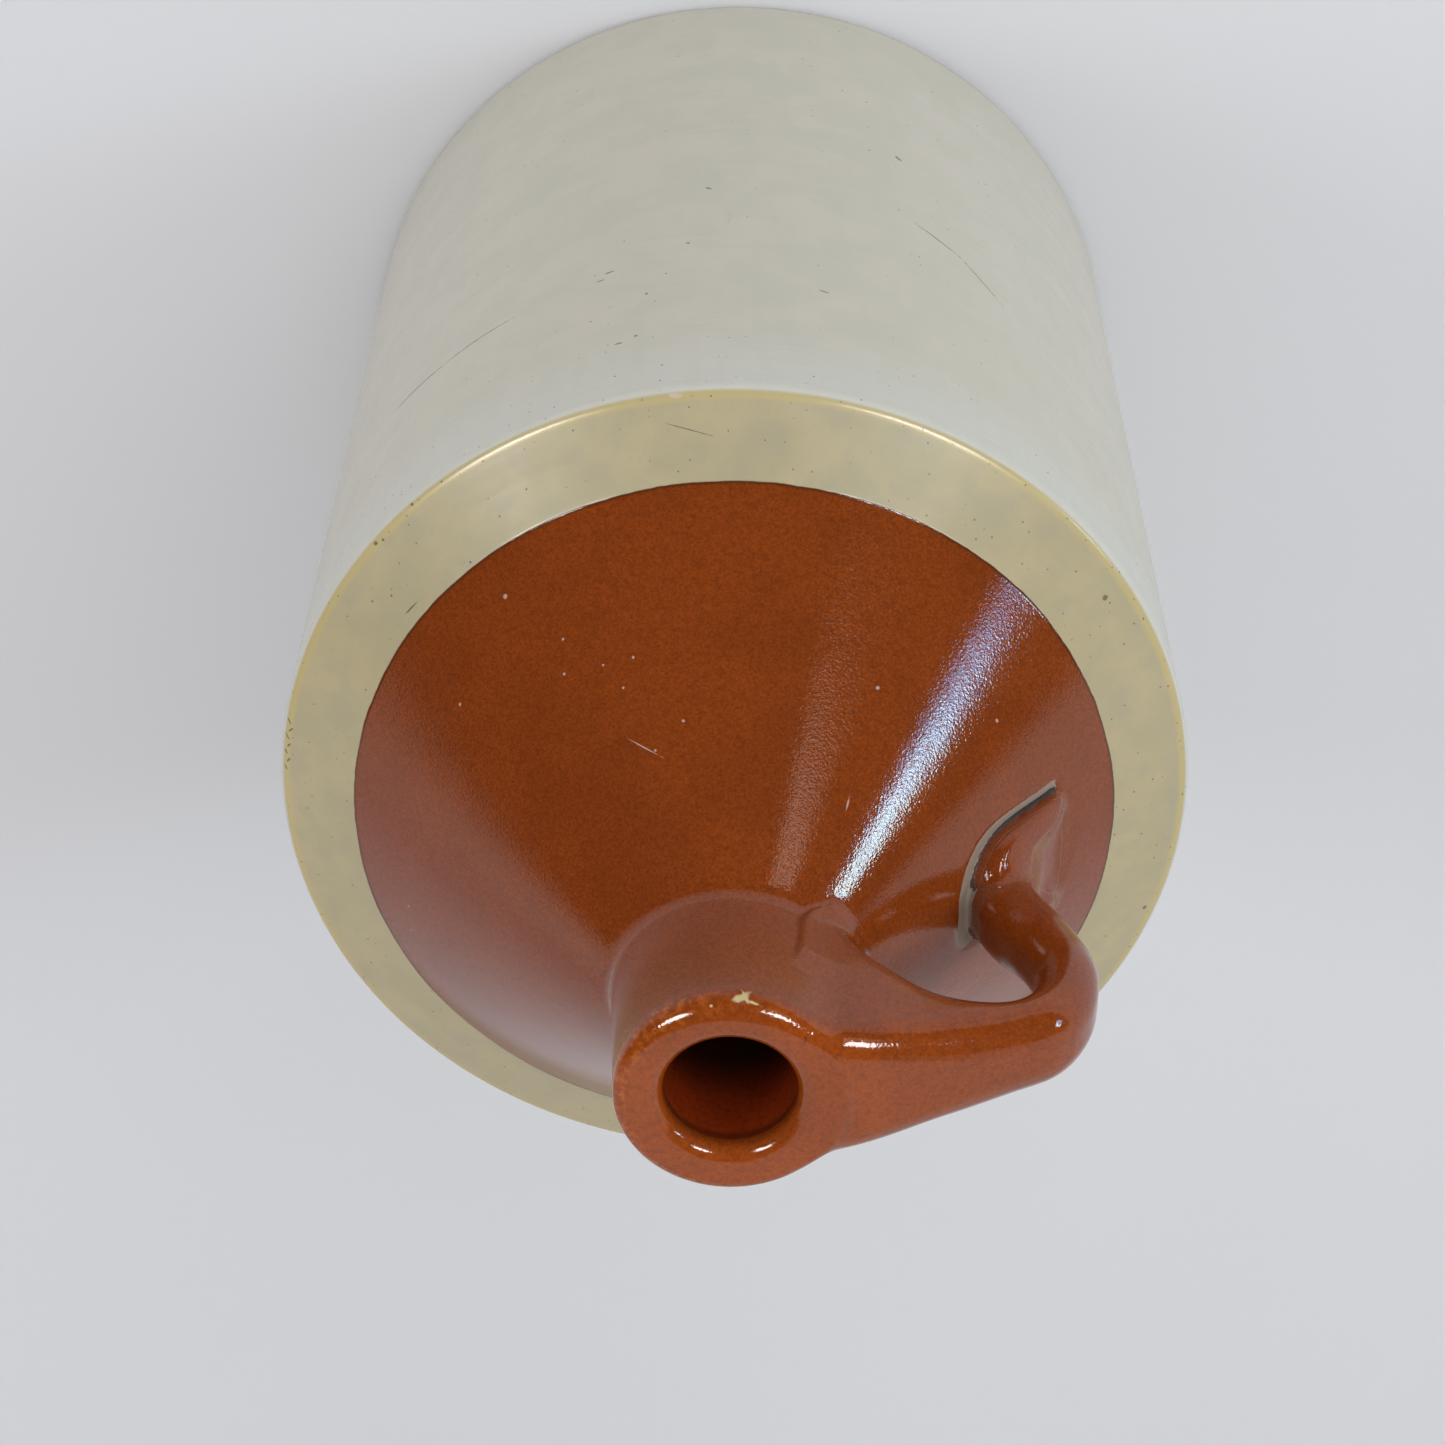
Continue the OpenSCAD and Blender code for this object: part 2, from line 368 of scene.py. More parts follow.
# %% [markdown]
# The strap's width and rounding change along it. A place near the strap takes both from the
# nearest points of its middle line, weighted so that there is no jump from one to the next.
# Outline and width meet in a rounded corner, which is the strap's long soft edge.

# %% Distance to the strap
def strap_values(points):
    """Distance to the strap's side outline, half its width there and its rounding."""
    gap = outline_distance(points, strap_outline)
    weight_sum = np.zeros(len(points))
    width_sum = np.zeros(len(points))
    round_sum = np.zeros(len(points))
    for (x, z), width, rounding in zip(strap_middle, strap_line[:, 4], strap_line[:, 5]):
        weight = ((points[:, 0] - x) ** 2 + (points[:, 1] - z) ** 2 + 1) ** -3
        weight_sum += weight
        width_sum += weight * width
        round_sum += weight * rounding
    return gap, width_sum / weight_sum, STRAP_CORNER * round_sum / weight_sum


strap_table = FlatTable((-2, 205), (72, 294), 0.25, strap_values)


def strap_distance(x, y, z):
    gap, width, corner = strap_table.read(x, z)
    return rounded_corner(gap, np.abs(y) - width, corner)


print("strap table:", strap_table.shape[0], "x", strap_table.shape[1], "places")

# %% [markdown]
# Where the strap lands, the potter pressed its end flat with a thumb. The thumb slid down
# the cone and left a shallow scoop, with a lip of clay on either side of it. A tool was then
# run round the outside of the lips, which left a steep little wall and a groove too narrow
# for the glaze to fill. All of this is a relief on the cone, so it is written as a height
# above the cone for each place on it: how far down the slope, and how far sideways.

# %% Relief of the pressed end
LEAF = [
    (43.3, 0), (43.4, 3.2), (44.2, 6.2), (45.6, 8.9), (47.8, 11.3), (50.6, 12.6), (53.6, 13),
    (56.6, 13.2), (59.2, 13.4), (60.8, 13.6), (61.7, 12.4), (62, 9), (62.2, 4), (62.3, 0),
]
LIP_AT_R = [43, 48, 52, 57, 60, 61.5]
LIP_H = [3.4, 2.9, 2.4, 1.8, 1.2, 0.5]
LIP_WALL = 1.5
RIDGE_AT_R = [51, 53.4, 57, 59.6, 60.8, 61.5]
RIDGE_SIDE = [5.6, 7.9, 8.2, 9.2, 11.2, 13]
SCOOP_AT_R = [48, 51, 54, 57.5, 60, 62.4]
SCOOP_H = [6, 2.6, 1.1, 0.1, -0.45, 0]
GROOVE_W = 3.4
GROOVE_DEPTH = 1.3
GROOVE_FROM_SIDE = -9
GROOVE_END_R = 60.4
NO_GROOVE = 20

leaf_half = smooth_curve(LEAF, 5)
leaf_outline = np.vstack([leaf_half, (leaf_half * [1, -1])[-2:0:-1]])


def eased(x, at, values):
    """A value read from a short list, with its corners rounded off."""
    spread = np.linspace(-0.9, 0.9, 7)
    return sum(np.interp(x + s, at, values) for s in spread) / len(spread)


def relief_values(points):
    """Height of the pressed end above the cone, and distance outside its edge."""
    r, side = points[:, 0], points[:, 1]
    depth_in = -outline_distance(points, leaf_outline)
    wall = 1 - (1 - np.clip(depth_in / LIP_WALL, 0, 1)) ** 2.4
    lip = eased(r, LIP_AT_R, LIP_H)
    scoop = eased(r, SCOOP_AT_R, SCOOP_H)
    across_scoop = np.abs(side) / eased(r, RIDGE_AT_R, RIDGE_SIDE)
    thumb = scoop + np.maximum(lip - scoop, 0.5) * across_scoop**3
    height = np.minimum(lip * wall, thumb)

    outside_leaf = -depth_in
    ends = np.clip((side - GROOVE_FROM_SIDE) / 3, 0, 1) * np.clip((GROOVE_END_R + 1.2 - r) / 1.5, 0, 1)
    slope_in = np.clip(1 - outside_leaf / GROOVE_W, 0, 1) * np.clip(1 + outside_leaf / 0.35, 0, 1)
    height -= GROOVE_DEPTH * slope_in**1.3 * ends
    return height, np.where(ends > 0.35, outside_leaf, NO_GROOVE)


relief_table = FlatTable((36, -24), (70, 24), 0.15, relief_values)
relief_heights = relief_table.values[0]
print("relief from", round(relief_heights.min(), 2), "to", round(relief_heights.max(), 2), "mm")


def on_cone(x, y, z):
    """Where a point lies over the cone: radius of its foot, and sideways from the handle."""
    r = np.hypot(x, y)
    lift = (z - cone_z(r)) * SLOPE_COS
    foot_r = r - np.clip(lift, -4, 8) * SLOPE_SIN
    return foot_r, np.arctan2(y, x) * foot_r


# %% [markdown]
# The strap melts into the neck and into the lips with a soft fillet, but its underside
# meets the cone in a sharp line, where the tool cut along it. So the fillet is wide over the
# pressed end and narrow at the heel.

# %% The whole of the upper jug
FILLET_AT_R = [42.5, 44, 48, 53]
FILLET_REACH = [1.5, 1.7, 5, 6]
NECK_REACH = 3
NECK_SIDE_R = 36


def jug_distance(x, y, z):
    """Signed distance to everything that shows from the cone upwards."""
    foot_r, side = on_cone(x, y, z)
    raised = relief_table.read(foot_r, side)[0]
    reach = np.where(z > BEND_Z, NECK_REACH, np.interp(foot_r, FILLET_AT_R, FILLET_REACH))
    reach = np.where(foot_r < NECK_SIDE_R, NECK_REACH, reach)
    thrown = thrown_distance(x, y, z, raised)
    joined = soft_join(thrown, strap_distance(x, y, z), reach)
    return np.maximum(np.maximum(joined, mouth_distance(x, y, z)), chip_distance(x, y, z))


strap_middle_r = np.array([REACH - STRAP_T / 2])
depth_in_strap = jug_distance(strap_middle_r, np.zeros(1), np.array([BEND_Z]))
print("distance in the middle of the strap:", depth_in_strap.round(2).tolist(), "mm")

# %% [markdown]
# A mesh is wound around these distances by the method called surface nets: the space is
# cut into small cells, each cell that the surface passes gets one point, and the points of
# neighbouring cells are joined. The cells here are not cubes. They follow the jug: rings
# around its axis, layers parallel to the cone, and finer steps on the handle's side. So the
# glossy cone comes out as clean rings, and its last ring can be carried on down the body.

# %% Cells around the axis
RING_POINTS = 300
RADIAL_STEPS = 84
GRID_R = (9.6, 69)
GRID_LAYER = (277, 338)
LAYER_STEP = 0.72


def spaced(low, high, count, density):
    """Values from low to high that lie closer together where density is high."""
    fine = np.linspace(low, high, 4001)
    weight = density((fine[1:] + fine[:-1]) / 2)
    total = np.concatenate([[0], np.cumsum(weight)])
    return np.interp(np.linspace(0, total[-1], count), total, fine)


def handle_side(angle):
    return 1 + 2 * np.exp(-((angle / math.radians(50)) ** 4))


def pressed_end(r):
    return 1 + 0.6 * np.exp(-(((r - 52) / 12) ** 4))


angles = spaced(-math.pi, math.pi, RING_POINTS + 1, handle_side)[:-1]
radii = spaced(*GRID_R, RADIAL_STEPS, pressed_end)
layers = np.arange(GRID_LAYER[0], GRID_LAYER[1], LAYER_STEP)
print("cells:", len(radii), "x", len(angles), "x", len(layers))


# %% [markdown]
# A cell is passed by the surface when some of its eight corners lie in the clay and others
# don't. Only those cells get a number, and the rest keep -1.

# %% Find the cells that the surface passes
def grid_to_xyz(r, angle, layer):
    return r * np.cos(angle), r * np.sin(angle), layer - SLOPE_TAN * r


def passed_cells(inside):
    """Cells with corners on both sides, and each cell's number in that list (or -1)."""
    count = sum(
        np.roll(inside, (-di, -dj, -dk), (0, 1, 2)).astype(int)
        for di in (0, 1) for dj in (0, 1) for dk in (0, 1)
    )
    count[-1] = 0
    count[:, :, -1] = 0
    cells = np.argwhere((count > 0) & (count < 8))
    number = np.full(count.shape, -1)
    number[tuple(cells.T)] = np.arange(len(cells))
    return cells, number


corners = np.meshgrid(radii, angles, layers, indexing="ij")
value = np.stack([jug_distance(*grid_to_xyz(*rows)) for rows in zip(*corners)])
inside = value < 0
cells, number = passed_cells(inside)
print("cells that the surface passes:", len(cells), "of", number.size)

# %% [markdown]
# A cell's point is the mean of the places where the surface crosses the cell's twelve
# edges. On an edge, the crossing lies where the distance passes zero between its two ends.

# %% One point in each cell
def points_in_cells(value, cells):
    i, j, k = cells.T
    place = np.zeros((len(cells), 3))
    hits = np.zeros(len(cells))
    for axis in range(3):
        for p in (0, 1):
            for q in (0, 1):
                low = np.insert([p, q], axis, 0)
                high = np.insert([p, q], axis, 1)
                v0, v1 = (value[i + c[0], (j + c[1]) % RING_POINTS, k + c[2]] for c in (low, high))
                hit = (v0 < 0) != (v1 < 0)
                t = v0[hit] / (v0[hit] - v1[hit])
                place[hit] += low + t[:, None] * (high - low)
                hits += hit
    place /= hits[:, None]
    next_angle = np.append(angles[1:], angles[0] + 2 * math.pi)
    return np.stack(grid_to_xyz(
        radii[i] + place[:, 0] * (radii[i + 1] - radii[i]),
        angles[j] + place[:, 1] * (next_angle[j] - angles[j]),
        layers[k] + place[:, 2] * LAYER_STEP,
    ), 1)


net = points_in_cells(value, cells)
print("highest point in mm:", round(float(net[:, 2].max()), 2))

# %% [markdown]
# Where an edge of the grid leaves the clay, the surface crosses it, and the four cells
# around that edge share one quad. Its corners go round so that the face looks outwards.

# %% Quads between the points
def quads_around_edges(inside, number):
    quads = []
    for axis, b, c in ((0, 1, 2), (1, 2, 0), (2, 0, 1)):
        cross = inside != np.roll(inside, -1, axis)
        beside = np.roll(number, 1, b)
        ring = [number, beside, np.roll(beside, 1, c), np.roll(number, 1, c)]
        quad = np.stack([g[cross] for g in ring], 1)
        leaving = inside[cross]
        quad[~leaving] = quad[~leaving][:, ::-1]
        quads.append(quad[(quad >= 0).all(1)])
    return np.vstack(quads)


quads = quads_around_edges(inside, number)
print("surface net:", len(net), "points,", len(quads), "quads")

# %% [markdown]
# The net still shows its cells, so its points are slid along the surface towards their
# neighbours' middle and then pulled back on to the exact distance of zero. Three rounds
# are enough for clean highlights. The ring in the bore and the last ring on the cone stay
# where they are, because the rest of the jug is joined to them.

# %% Settle the net on the surface
def slope_of(p, step=0.04):
    """Direction in which the distance grows fastest, and its rate."""
    rate = []
    for axis in range(3):
        shift = np.zeros(3)
        shift[axis] = step
        rate.append(jug_distance(*(p + shift).T) - jug_distance(*(p - shift).T))
    return np.stack(rate, 1) / (2 * step)


def pull_to_surface(p, rounds=2):
    for _ in range(rounds):
        slope = slope_of(p)
        size = np.maximum((slope**2).sum(1), 0.05)
        p = p - np.clip(jug_distance(*p.T) / size, -0.5, 0.5)[:, None] * slope
    return p


def settle(p, quads, fixed, rounds=3):
    edges = np.vstack([quads[:, [0, 1]], quads[:, [1, 2]], quads[:, [2, 3]], quads[:, [3, 0]]])
    degree = np.bincount(edges.ravel(), minlength=len(p))[:, None]
    for _ in range(rounds):
        total = np.zeros_like(p)
        for c in range(3):
            total[:, c] += np.bincount(edges[:, 0], p[edges[:, 1], c], len(p))
            total[:, c] += np.bincount(edges[:, 1], p[edges[:, 0], c], len(p))
        moved = 0.5 * (p + total / degree)
        moved[fixed] = p[fixed]
        p = pull_to_surface(moved, 1)
    return pull_to_surface(p, 1)


bore_cell = np.searchsorted(radii, BORE_R) - 1
cone_layer = np.searchsorted(layers, BROWN_Z + BROWN_R * SLOPE_TAN) - 1
bore_ring = number[bore_cell, :, 0]
cone_ring = number[len(radii) - 2, :, cone_layer]
assert (bore_ring >= 0).all() and (cone_ring >= 0).all()
fixed = np.concatenate([bore_ring, cone_ring])
net = pull_to_surface(net, 1)
net = settle(net, quads, fixed)
print("largest miss in mm:", float(np.abs(jug_distance(*net.T)).max()))

# %% [markdown]
# Below the cone the jug is a plain thrown form, so the rest is a lathe: each ring has the
# same number of points as the net's last ring, and a profile of radii and heights says
# where the rings lie. Sharp turns, such as the edge of the brown glaze and the base, get
# rings close together, which keeps their shading crisp.

# %% Profiles of the body and of the room inside
def arc(centre, radius, start, end, steps):
    """Points on an arc, with angles in degrees."""
    turn = np.radians(np.linspace(start, end, steps + 1))
    return [(centre[0] + radius * math.cos(a), centre[1] + radius * math.sin(a)) for a in turn]


LEDGE_TURN = math.degrees(math.atan2(LEDGE_RISE, LEDGE_W - RIM_ROUND))
rim_top = arc((BODY_R - RIM_ROUND, SHOULDER_Z - RIM_ROUND), RIM_ROUND, 90 - LEDGE_TURN, 0, 7)
RIM_START_R, RIM_START_Z = rim_top[0]
ledge_share = 1 - np.linspace(0.97, 0.03, 9)
ledge_r = BROWN_R + (RIM_START_R - BROWN_R) * ledge_share
ledge_z = BROWN_Z + (RIM_START_Z - BROWN_Z) * ledge_share
wall_rings = np.linspace(SHOULDER_Z - RIM_ROUND - 1, BASE_BEVEL + 1.2, 30)
outside = (
    [(r, cone_z(r)) for r in (BROWN_R - 1, BROWN_R - 0.3, BROWN_R)]
    + list(zip(ledge_r, ledge_z))
    + rim_top
    + [(BODY_R, z) for z in wall_rings]
    + arc((BODY_R - BASE_BEVEL, BASE_BEVEL), BASE_BEVEL, 0, -90, 5)
    + [(r, 0) for r in (BODY_R - BASE_BEVEL - 1, 60, 30)]
)

ROOM_ROUND = 9
INNER_R = BODY_R - WALL
WALL_UPRIGHT = WALL / SLOPE_COS
room_top_r = INNER_R - ROOM_ROUND
room_turn_z = cone_z(room_top_r + ROOM_ROUND * SLOPE_SIN) - WALL_UPRIGHT - ROOM_ROUND * SLOPE_COS
bore_foot_z = cone_z(BORE_R) - WALL_UPRIGHT
inside_profile = (
    [(BORE_R, z) for z in (bore_foot_z + 5, bore_foot_z + 0.8, bore_foot_z)]
    + [(r, cone_z(r) - WALL_UPRIGHT) for r in (BORE_R + 0.8, 20, 40, 60)]
    + arc((room_top_r, room_turn_z), ROOM_ROUND, 90 - math.degrees(CONE_SLOPE), 0, 4)
    + [(INNER_R, z) for z in (140, 80, 30)]
    + arc((room_top_r, FLOOR + ROOM_ROUND), ROOM_ROUND, 0, -90, 5)
    + [(50, FLOOR), (20, FLOOR)]
)
print("rings outside:", len(outside), "and inside:", len(inside_profile))

# %% [markdown]
# The lathe starts from a ring of points that the net already has, so there is no seam: each
# new ring turns by the same angles. Outside it runs down the wall and closes the base, and
# inside it runs down the bore, widens into the room and closes the floor.

# %% Carry the rings on to the base and the floor
def lathe(points, quads, ring, profile, centre_z, faces_out):
    """Carries a ring of points on along a profile and closes it at the axis."""
    turn = points[ring, :2] / np.hypot(*points[ring, :2].T)[:, None]
    rings = [np.column_stack([turn * r, np.full(len(turn), z)]) for r, z in profile]
    first = len(points)
    new_points = np.vstack([points] + rings + [[(0, 0, centre_z)]])
    starts = [ring] + [first + n * len(turn) + np.arange(len(turn)) for n in range(len(profile))]
    new_quads = [
        np.stack([a, np.roll(a, -1), np.roll(b, -1), b], 1) for a, b in zip(starts, starts[1:])
    ]
    last = starts[-1]
    fan = np.stack([last, np.roll(last, -1), np.full(len(last), len(new_points) - 1)], 1)
    way = -1 if faces_out else 1
    return new_points, np.vstack([quads] + [q[:, ::way] for q in new_quads]), fan[:, ::way]


points, all_quads, base_fan = lathe(net, quads, cone_ring, outside, 0, True)
points, all_quads, floor_fan = lathe(points, all_quads, bore_ring, inside_profile, FLOOR, False)
triangles = 2 * len(all_quads) + len(base_fan) + len(floor_fan)
print("whole jug:", len(points), "points,", triangles, "triangles")

# %% [markdown]
# Until now the jug is only numbers. A Blender mesh takes the points, in metres, and the
# faces as lists of point numbers. Smooth shading lets the light run over the faces without
# steps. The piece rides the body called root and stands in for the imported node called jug.

# %% Make the mesh
def mesh_object(name, points, faces):
    mesh = bpy.data.meshes.new(name)
    mesh.from_pydata((points * MM).tolist(), [], faces)
    mesh.validate()
    mesh.shade_smooth()
    piece = bpy.data.objects.new(name, mesh)
    scene.collection.objects.link(piece)
    return piece


faces = all_quads.tolist() + base_fan.tolist() + floor_fan.tolist()
jug = mesh_object("stoneware_jug", points, faces)
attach(jug, "root")
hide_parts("jug")
print("mesh:", len(jug.data.vertices), "points in the piece called", jug.name)

# %% [markdown]
# The groove's line is known to the geometry, so each point of the mesh keeps its distance
# from it as an attribute. The glaze can then stop exactly where the groove begins. A face
# also needs to know its finish: the glazed outside, the slip inside, or the bare base.

# %% Groove attribute and finish of each face
OUTSIDE, INSIDE, BASE = 0, 1, 2
foot_r, side = on_cone(*points.T)
above_cone = (points[:, 2] - cone_z(np.hypot(points[:, 0], points[:, 1]))) * SLOPE_COS
groove_gap = relief_table.read(foot_r, side)[1]
groove_gap = np.where(above_cone > 0.8, NO_GROOVE, np.clip(groove_gap, -NO_GROOVE, NO_GROOVE))
attribute = jug.data.attributes.new("groove_gap", "FLOAT", "POINT")
attribute.data.foreach_set("value", groove_gap.astype(np.float32))

centres = np.zeros(3 * len(jug.data.polygons))
jug.data.polygons.foreach_get("center", centres)
centres = centres.reshape(-1, 3) / MM
normals = np.zeros(3 * len(jug.data.polygons))
jug.data.polygons.foreach_get("normal", normals)
normals = normals.reshape(-1, 3)
face_r = np.hypot(centres[:, 0], centres[:, 1])
towards_axis = (normals[:, :2] * centres[:, :2]).sum(1) < 0
in_bore = (face_r < BORE_R + 0.3) & (centres[:, 2] < LIP_Z - MOUTH_ROUND - 1) & towards_axis
in_room = (centres[:, 2] < cone_z(face_r) - 4) & (face_r < INNER_R + 0.1) & (centres[:, 2] > 1)
finish = np.where(in_bore | in_room, INSIDE, OUTSIDE)
finish[(normals[:, 2] < -0.3) & (centres[:, 2] < BASE_BEVEL)] = BASE
jug.data.polygons.foreach_set("material_index", finish)
print("faces outside, inside and on the base:", np.bincount(finish).tolist())

# %% [markdown]
# The photograph's background is a plain pale surface, so the floor is a wide pale disc.

# %% Floor
FLOOR_R = 3
floor_ring = [(x, y, 0) for x, y in arc((0, 0), FLOOR_R, 0, 355, 71)]
floor_mesh = bpy.data.meshes.new("floor")
floor_mesh.from_pydata(floor_ring, [], [list(range(len(floor_ring)))])
floor = bpy.data.objects.new("floor", floor_mesh)
scene.collection.objects.link(floor)
print("floor", 2 * FLOOR_R, "m across")

# %% [markdown]
# A finish is a tree of small nodes: one gives a place, one turns it into noise, one mixes two
# colours by that noise. Adding and wiring each node by hand takes three or four lines, so
# this small class does it in one call. A value given to it may be a number or the output of
# another node, and it returns the new node's output. Colours are written as they are seen
# on a screen, and rgb() turns them into the linear values that light adds up in.

# %% A short way to write node trees
class Graph:
    """Writes a node tree. Each call adds one node, wires its inputs and returns it."""

    def __init__(self, tree):
        self.tree = tree

    def add(self, kind, inputs=(), **settings):
        node = self.tree.nodes.new(kind if kind.startswith("NodeGroup") else "ShaderNode" + kind)
        for name, value in settings.items():
            setattr(node, name, value)
        for key, value in inputs.items() if isinstance(inputs, dict) else enumerate(inputs):
            if isinstance(value, bpy.types.NodeSocket):
                self.tree.links.new(value, node.inputs[key])
            elif value is not None:
                node.inputs[key].default_value = value
        return node

    def math(self, operation, *values):
        return self.add("Math", values, operation=operation).outputs[0]

    def vector(self, operation, *values):
        node = self.add("VectorMath", values, operation=operation)
        return node.outputs["Value" if operation in ("LENGTH", "DISTANCE") else "Vector"]

    def fade(self, value, low, high):
        """0 below low, 1 above high, and smooth between. low may be the larger one."""
        return self.add("MapRange", (value, low, high), interpolation_type="SMOOTHSTEP").outputs[0]

    def mix(self, amount, a, b):
        return self.add("Mix", {0: amount, 6: a, 7: b}, data_type="RGBA").outputs[2]

    def noise(self, place, scale, detail=2.0, rough=0.5):
        values = {"Vector": place, "Scale": scale, "Detail": detail, "Roughness": rough}
        return self.add("TexNoise", values).outputs["Fac"]


def rgb(red, green, blue):
    """A colour as it is seen on a screen, 0 to 255, as the linear values a shader wants."""
    screen = [c / 255 for c in (red, green, blue)]
    return tuple(c / 12.92 if c < 0.04045 else ((c + 0.055) / 1.055) ** 2.4 for c in screen) + (1,)


def new_group(name, inputs, outputs):
    """An empty node group: its tree, a Graph for it, and its input and output sockets."""
    tree = bpy.data.node_groups.new(name, "ShaderNodeTree")
    for way, sockets in (("INPUT", inputs), ("OUTPUT", outputs)):
        for socket, kind in sockets.items():
            tree.interface.new_socket(socket, in_out=way, socket_type="NodeSocket" + kind)
    g = Graph(tree)
    return g, g.add("NodeGroupInput").outputs, g.add("NodeGroupOutput").inputs


def new_material(name):
    material = bpy.data.materials.new(name)
    material.use_nodes = True
    tree = material.node_tree
    return material, Graph(tree), tree.nodes["Principled BSDF"]


print("middle grey as linear values:", [round(c, 3) for c in rgb(128, 128, 128)[:3]])

# %% [markdown]
# What the glaze mirrors matters more than what stands behind the jug: a glossy brown is
# mostly a picture of the room. Modelling a real room would be one way. Here the world's
# background does it: dark overhead, pale low down, behind the jug and to the right, with
# soft steps between. The pale part gives the soft pinkish veil on the sides of the cone.
# Light Path tells the rays apart: mirrored ones see this room, the camera sees the pale
# colour alone, and all others get one even light.

# %% Room that the glaze mirrors
PALE_ROOM = (0.80, 0.76, 0.73, 1)
DIM_ROOM = (0.47, 0.44, 0.40, 1)
DARK_ROOM = (0.010, 0.010, 0.012, 1)
EVEN_LIGHT = (0.62, 0.62, 0.63, 1)
PALE_BELOW = (0.095, 0.045)
PALE_BEHIND = (-0.20, -0.36)
PALE_ON_RIGHT = (-0.02, -0.12)

world = bpy.data.worlds.new("room")
scene.world = world
world.use_nodes = True
g = Graph(world.node_tree)
way = g.add("SeparateXYZ", (g.add("TexCoord").outputs["Generated"],)).outputs
low_down = g.fade(way["Z"], *PALE_BELOW)
behind = g.fade(way["Y"], *PALE_BEHIND)
on_right = g.math("MULTIPLY", g.fade(way["Y"], *PALE_ON_RIGHT), g.fade(way["X"], 0.5, 0.8))
pale = g.math("MAXIMUM", g.math("MAXIMUM", low_down, behind), on_right)
towards_back = g.math("MAXIMUM", g.fade(way["Y"], -0.1, -0.5), g.fade(way["X"], 0.3, 0.6))
mirrored = g.mix(pale, DARK_ROOM, g.mix(towards_back, DIM_ROOM, PALE_ROOM))
path = g.add("LightPath").outputs
room = g.mix(path["Is Glossy Ray"], EVEN_LIGHT, mirrored)
room = g.mix(path["Is Camera Ray"], room, PALE_ROOM)
g.tree.links.new(room, g.tree.nodes["Background"].inputs["Color"])
print("room: pale below", PALE_BELOW, "and behind", PALE_BEHIND)

# %% [markdown]
# Three broad lamps light the clay evenly, and no highlight shows them. What the photograph
# shows as highlights are other things in the room, so each is a rectangle of its own: two
# glints on lip and handle, a window in two panes, blue and white, that makes the bright
# streak on the cone, with a dim edge, and a far window that makes the soft streak beside it.
# The place of a highlight on the glaze gives the direction of its lamp, because the surface
# there faces halfway between the lamp and the camera. The glints and the far window light
# nothing, they are only mirrored.

# %% Lights
def area_light(name, direction, distance, width, height, radiance, colour=(1, 1, 1), **seen_by):
    """A rectangle that faces the jug; radiance is how bright its face looks."""
    data = bpy.data.lights.new(name, "AREA")
    data.shape = "RECTANGLE"
    data.size = width
    data.size_y = height
    data.energy = radiance * math.pi * width * height
    data.color = colour
    light = bpy.data.objects.new(name, data)
    out = Vector(direction).normalized()
    turn = out.to_track_quat("Z", "Y").to_matrix().to_4x4()
    light.matrix_world = Matrix.Translation(Vector((0, 0, 0.2)) + out * distance) @ turn
    light.visible_glossy = seen_by.get("glossy", True)
    light.visible_diffuse = seen_by.get("diffuse", True)
    scene.collection.objects.link(light)


area_light("key", (0.25, 0.55, 0.8), 1.7, 1.3, 1.3, 1.35, glossy=False)
area_light("left_lamp", (-0.78, 0.22, 0.55), 2.5, 0.8, 0.8, 5.2, glossy=False)
area_light("right_lamp", (0.78, 0.25, 0.55), 2.5, 0.8, 0.8, 5.0, glossy=False)
area_light("left_glint", (-0.564, 0.489, 0.666), 2.3, 0.72, 0.5, 26, diffuse=False)
area_light("right_glint", (0.48, 0.55, 0.685), 2.3, 0.75, 0.46, 25, diffuse=False)
area_light("blue_window", (0.914, 0.30, 0.272), 3, 0.44, 0.14, 17.5, (0.21, 0.55, 1))
area_light("window_edge", (0.914, 0.31, 0.236), 3, 0.40, 0.09, 2.2, (0.4, 0.6, 1))
area_light("white_window", (0.917, 0.245, 0.318), 3, 0.40, 0.24, 23, (0.66, 0.95, 1))
area_light("far_window", (0.535, 0.71, 0.485), 3, 0.75, 0.2, 3, (1, 0.82, 0.68), diffuse=False)
scene.view_settings.view_transform = "Standard"
print("lamps:", sorted(light.name for light in bpy.data.lights))

# %% [markdown]
# The finishes share a few effects, so each effect is a node group that is made once and put
# into each material with its own values. The first tells where a point lies on the jug in
# millimetres: its place, its distance from the axis, its height and its direction from the
# axis. A group only hands out values that vary over the surface. Fixed values, such as the
# index of refraction, are set on the material itself.

# %% Shared effect: place on the jug
g, _, out = new_group(
    "place_on_jug", {},
    {"Place": "Vector", "Radius": "Float", "Height": "Float", "Around": "Vector"})
place = g.vector("MULTIPLY", g.add("TexCoord").outputs["Object"], (1000, 1000, 1000))
flat = g.vector("MULTIPLY", place, (1, 1, 0))
g.tree.links.new(place, out["Place"])
g.tree.links.new(g.vector("LENGTH", flat), out["Radius"])
g.tree.links.new(g.add("SeparateXYZ", (place,)).outputs["Z"], out["Height"])
g.tree.links.new(g.vector("NORMALIZE", flat), out["Around"])
PLACE = g.tree
print("group", PLACE.name, "gives", list(out.keys())[:4])

# %% [markdown]
# Iron in the clay burns through the glaze as small round specks. Voronoi noise scatters one
# point into each cell of space. A random colour of the cell picks which cells have a speck
# and how large it is, so specks are as near to each other as chance puts them.

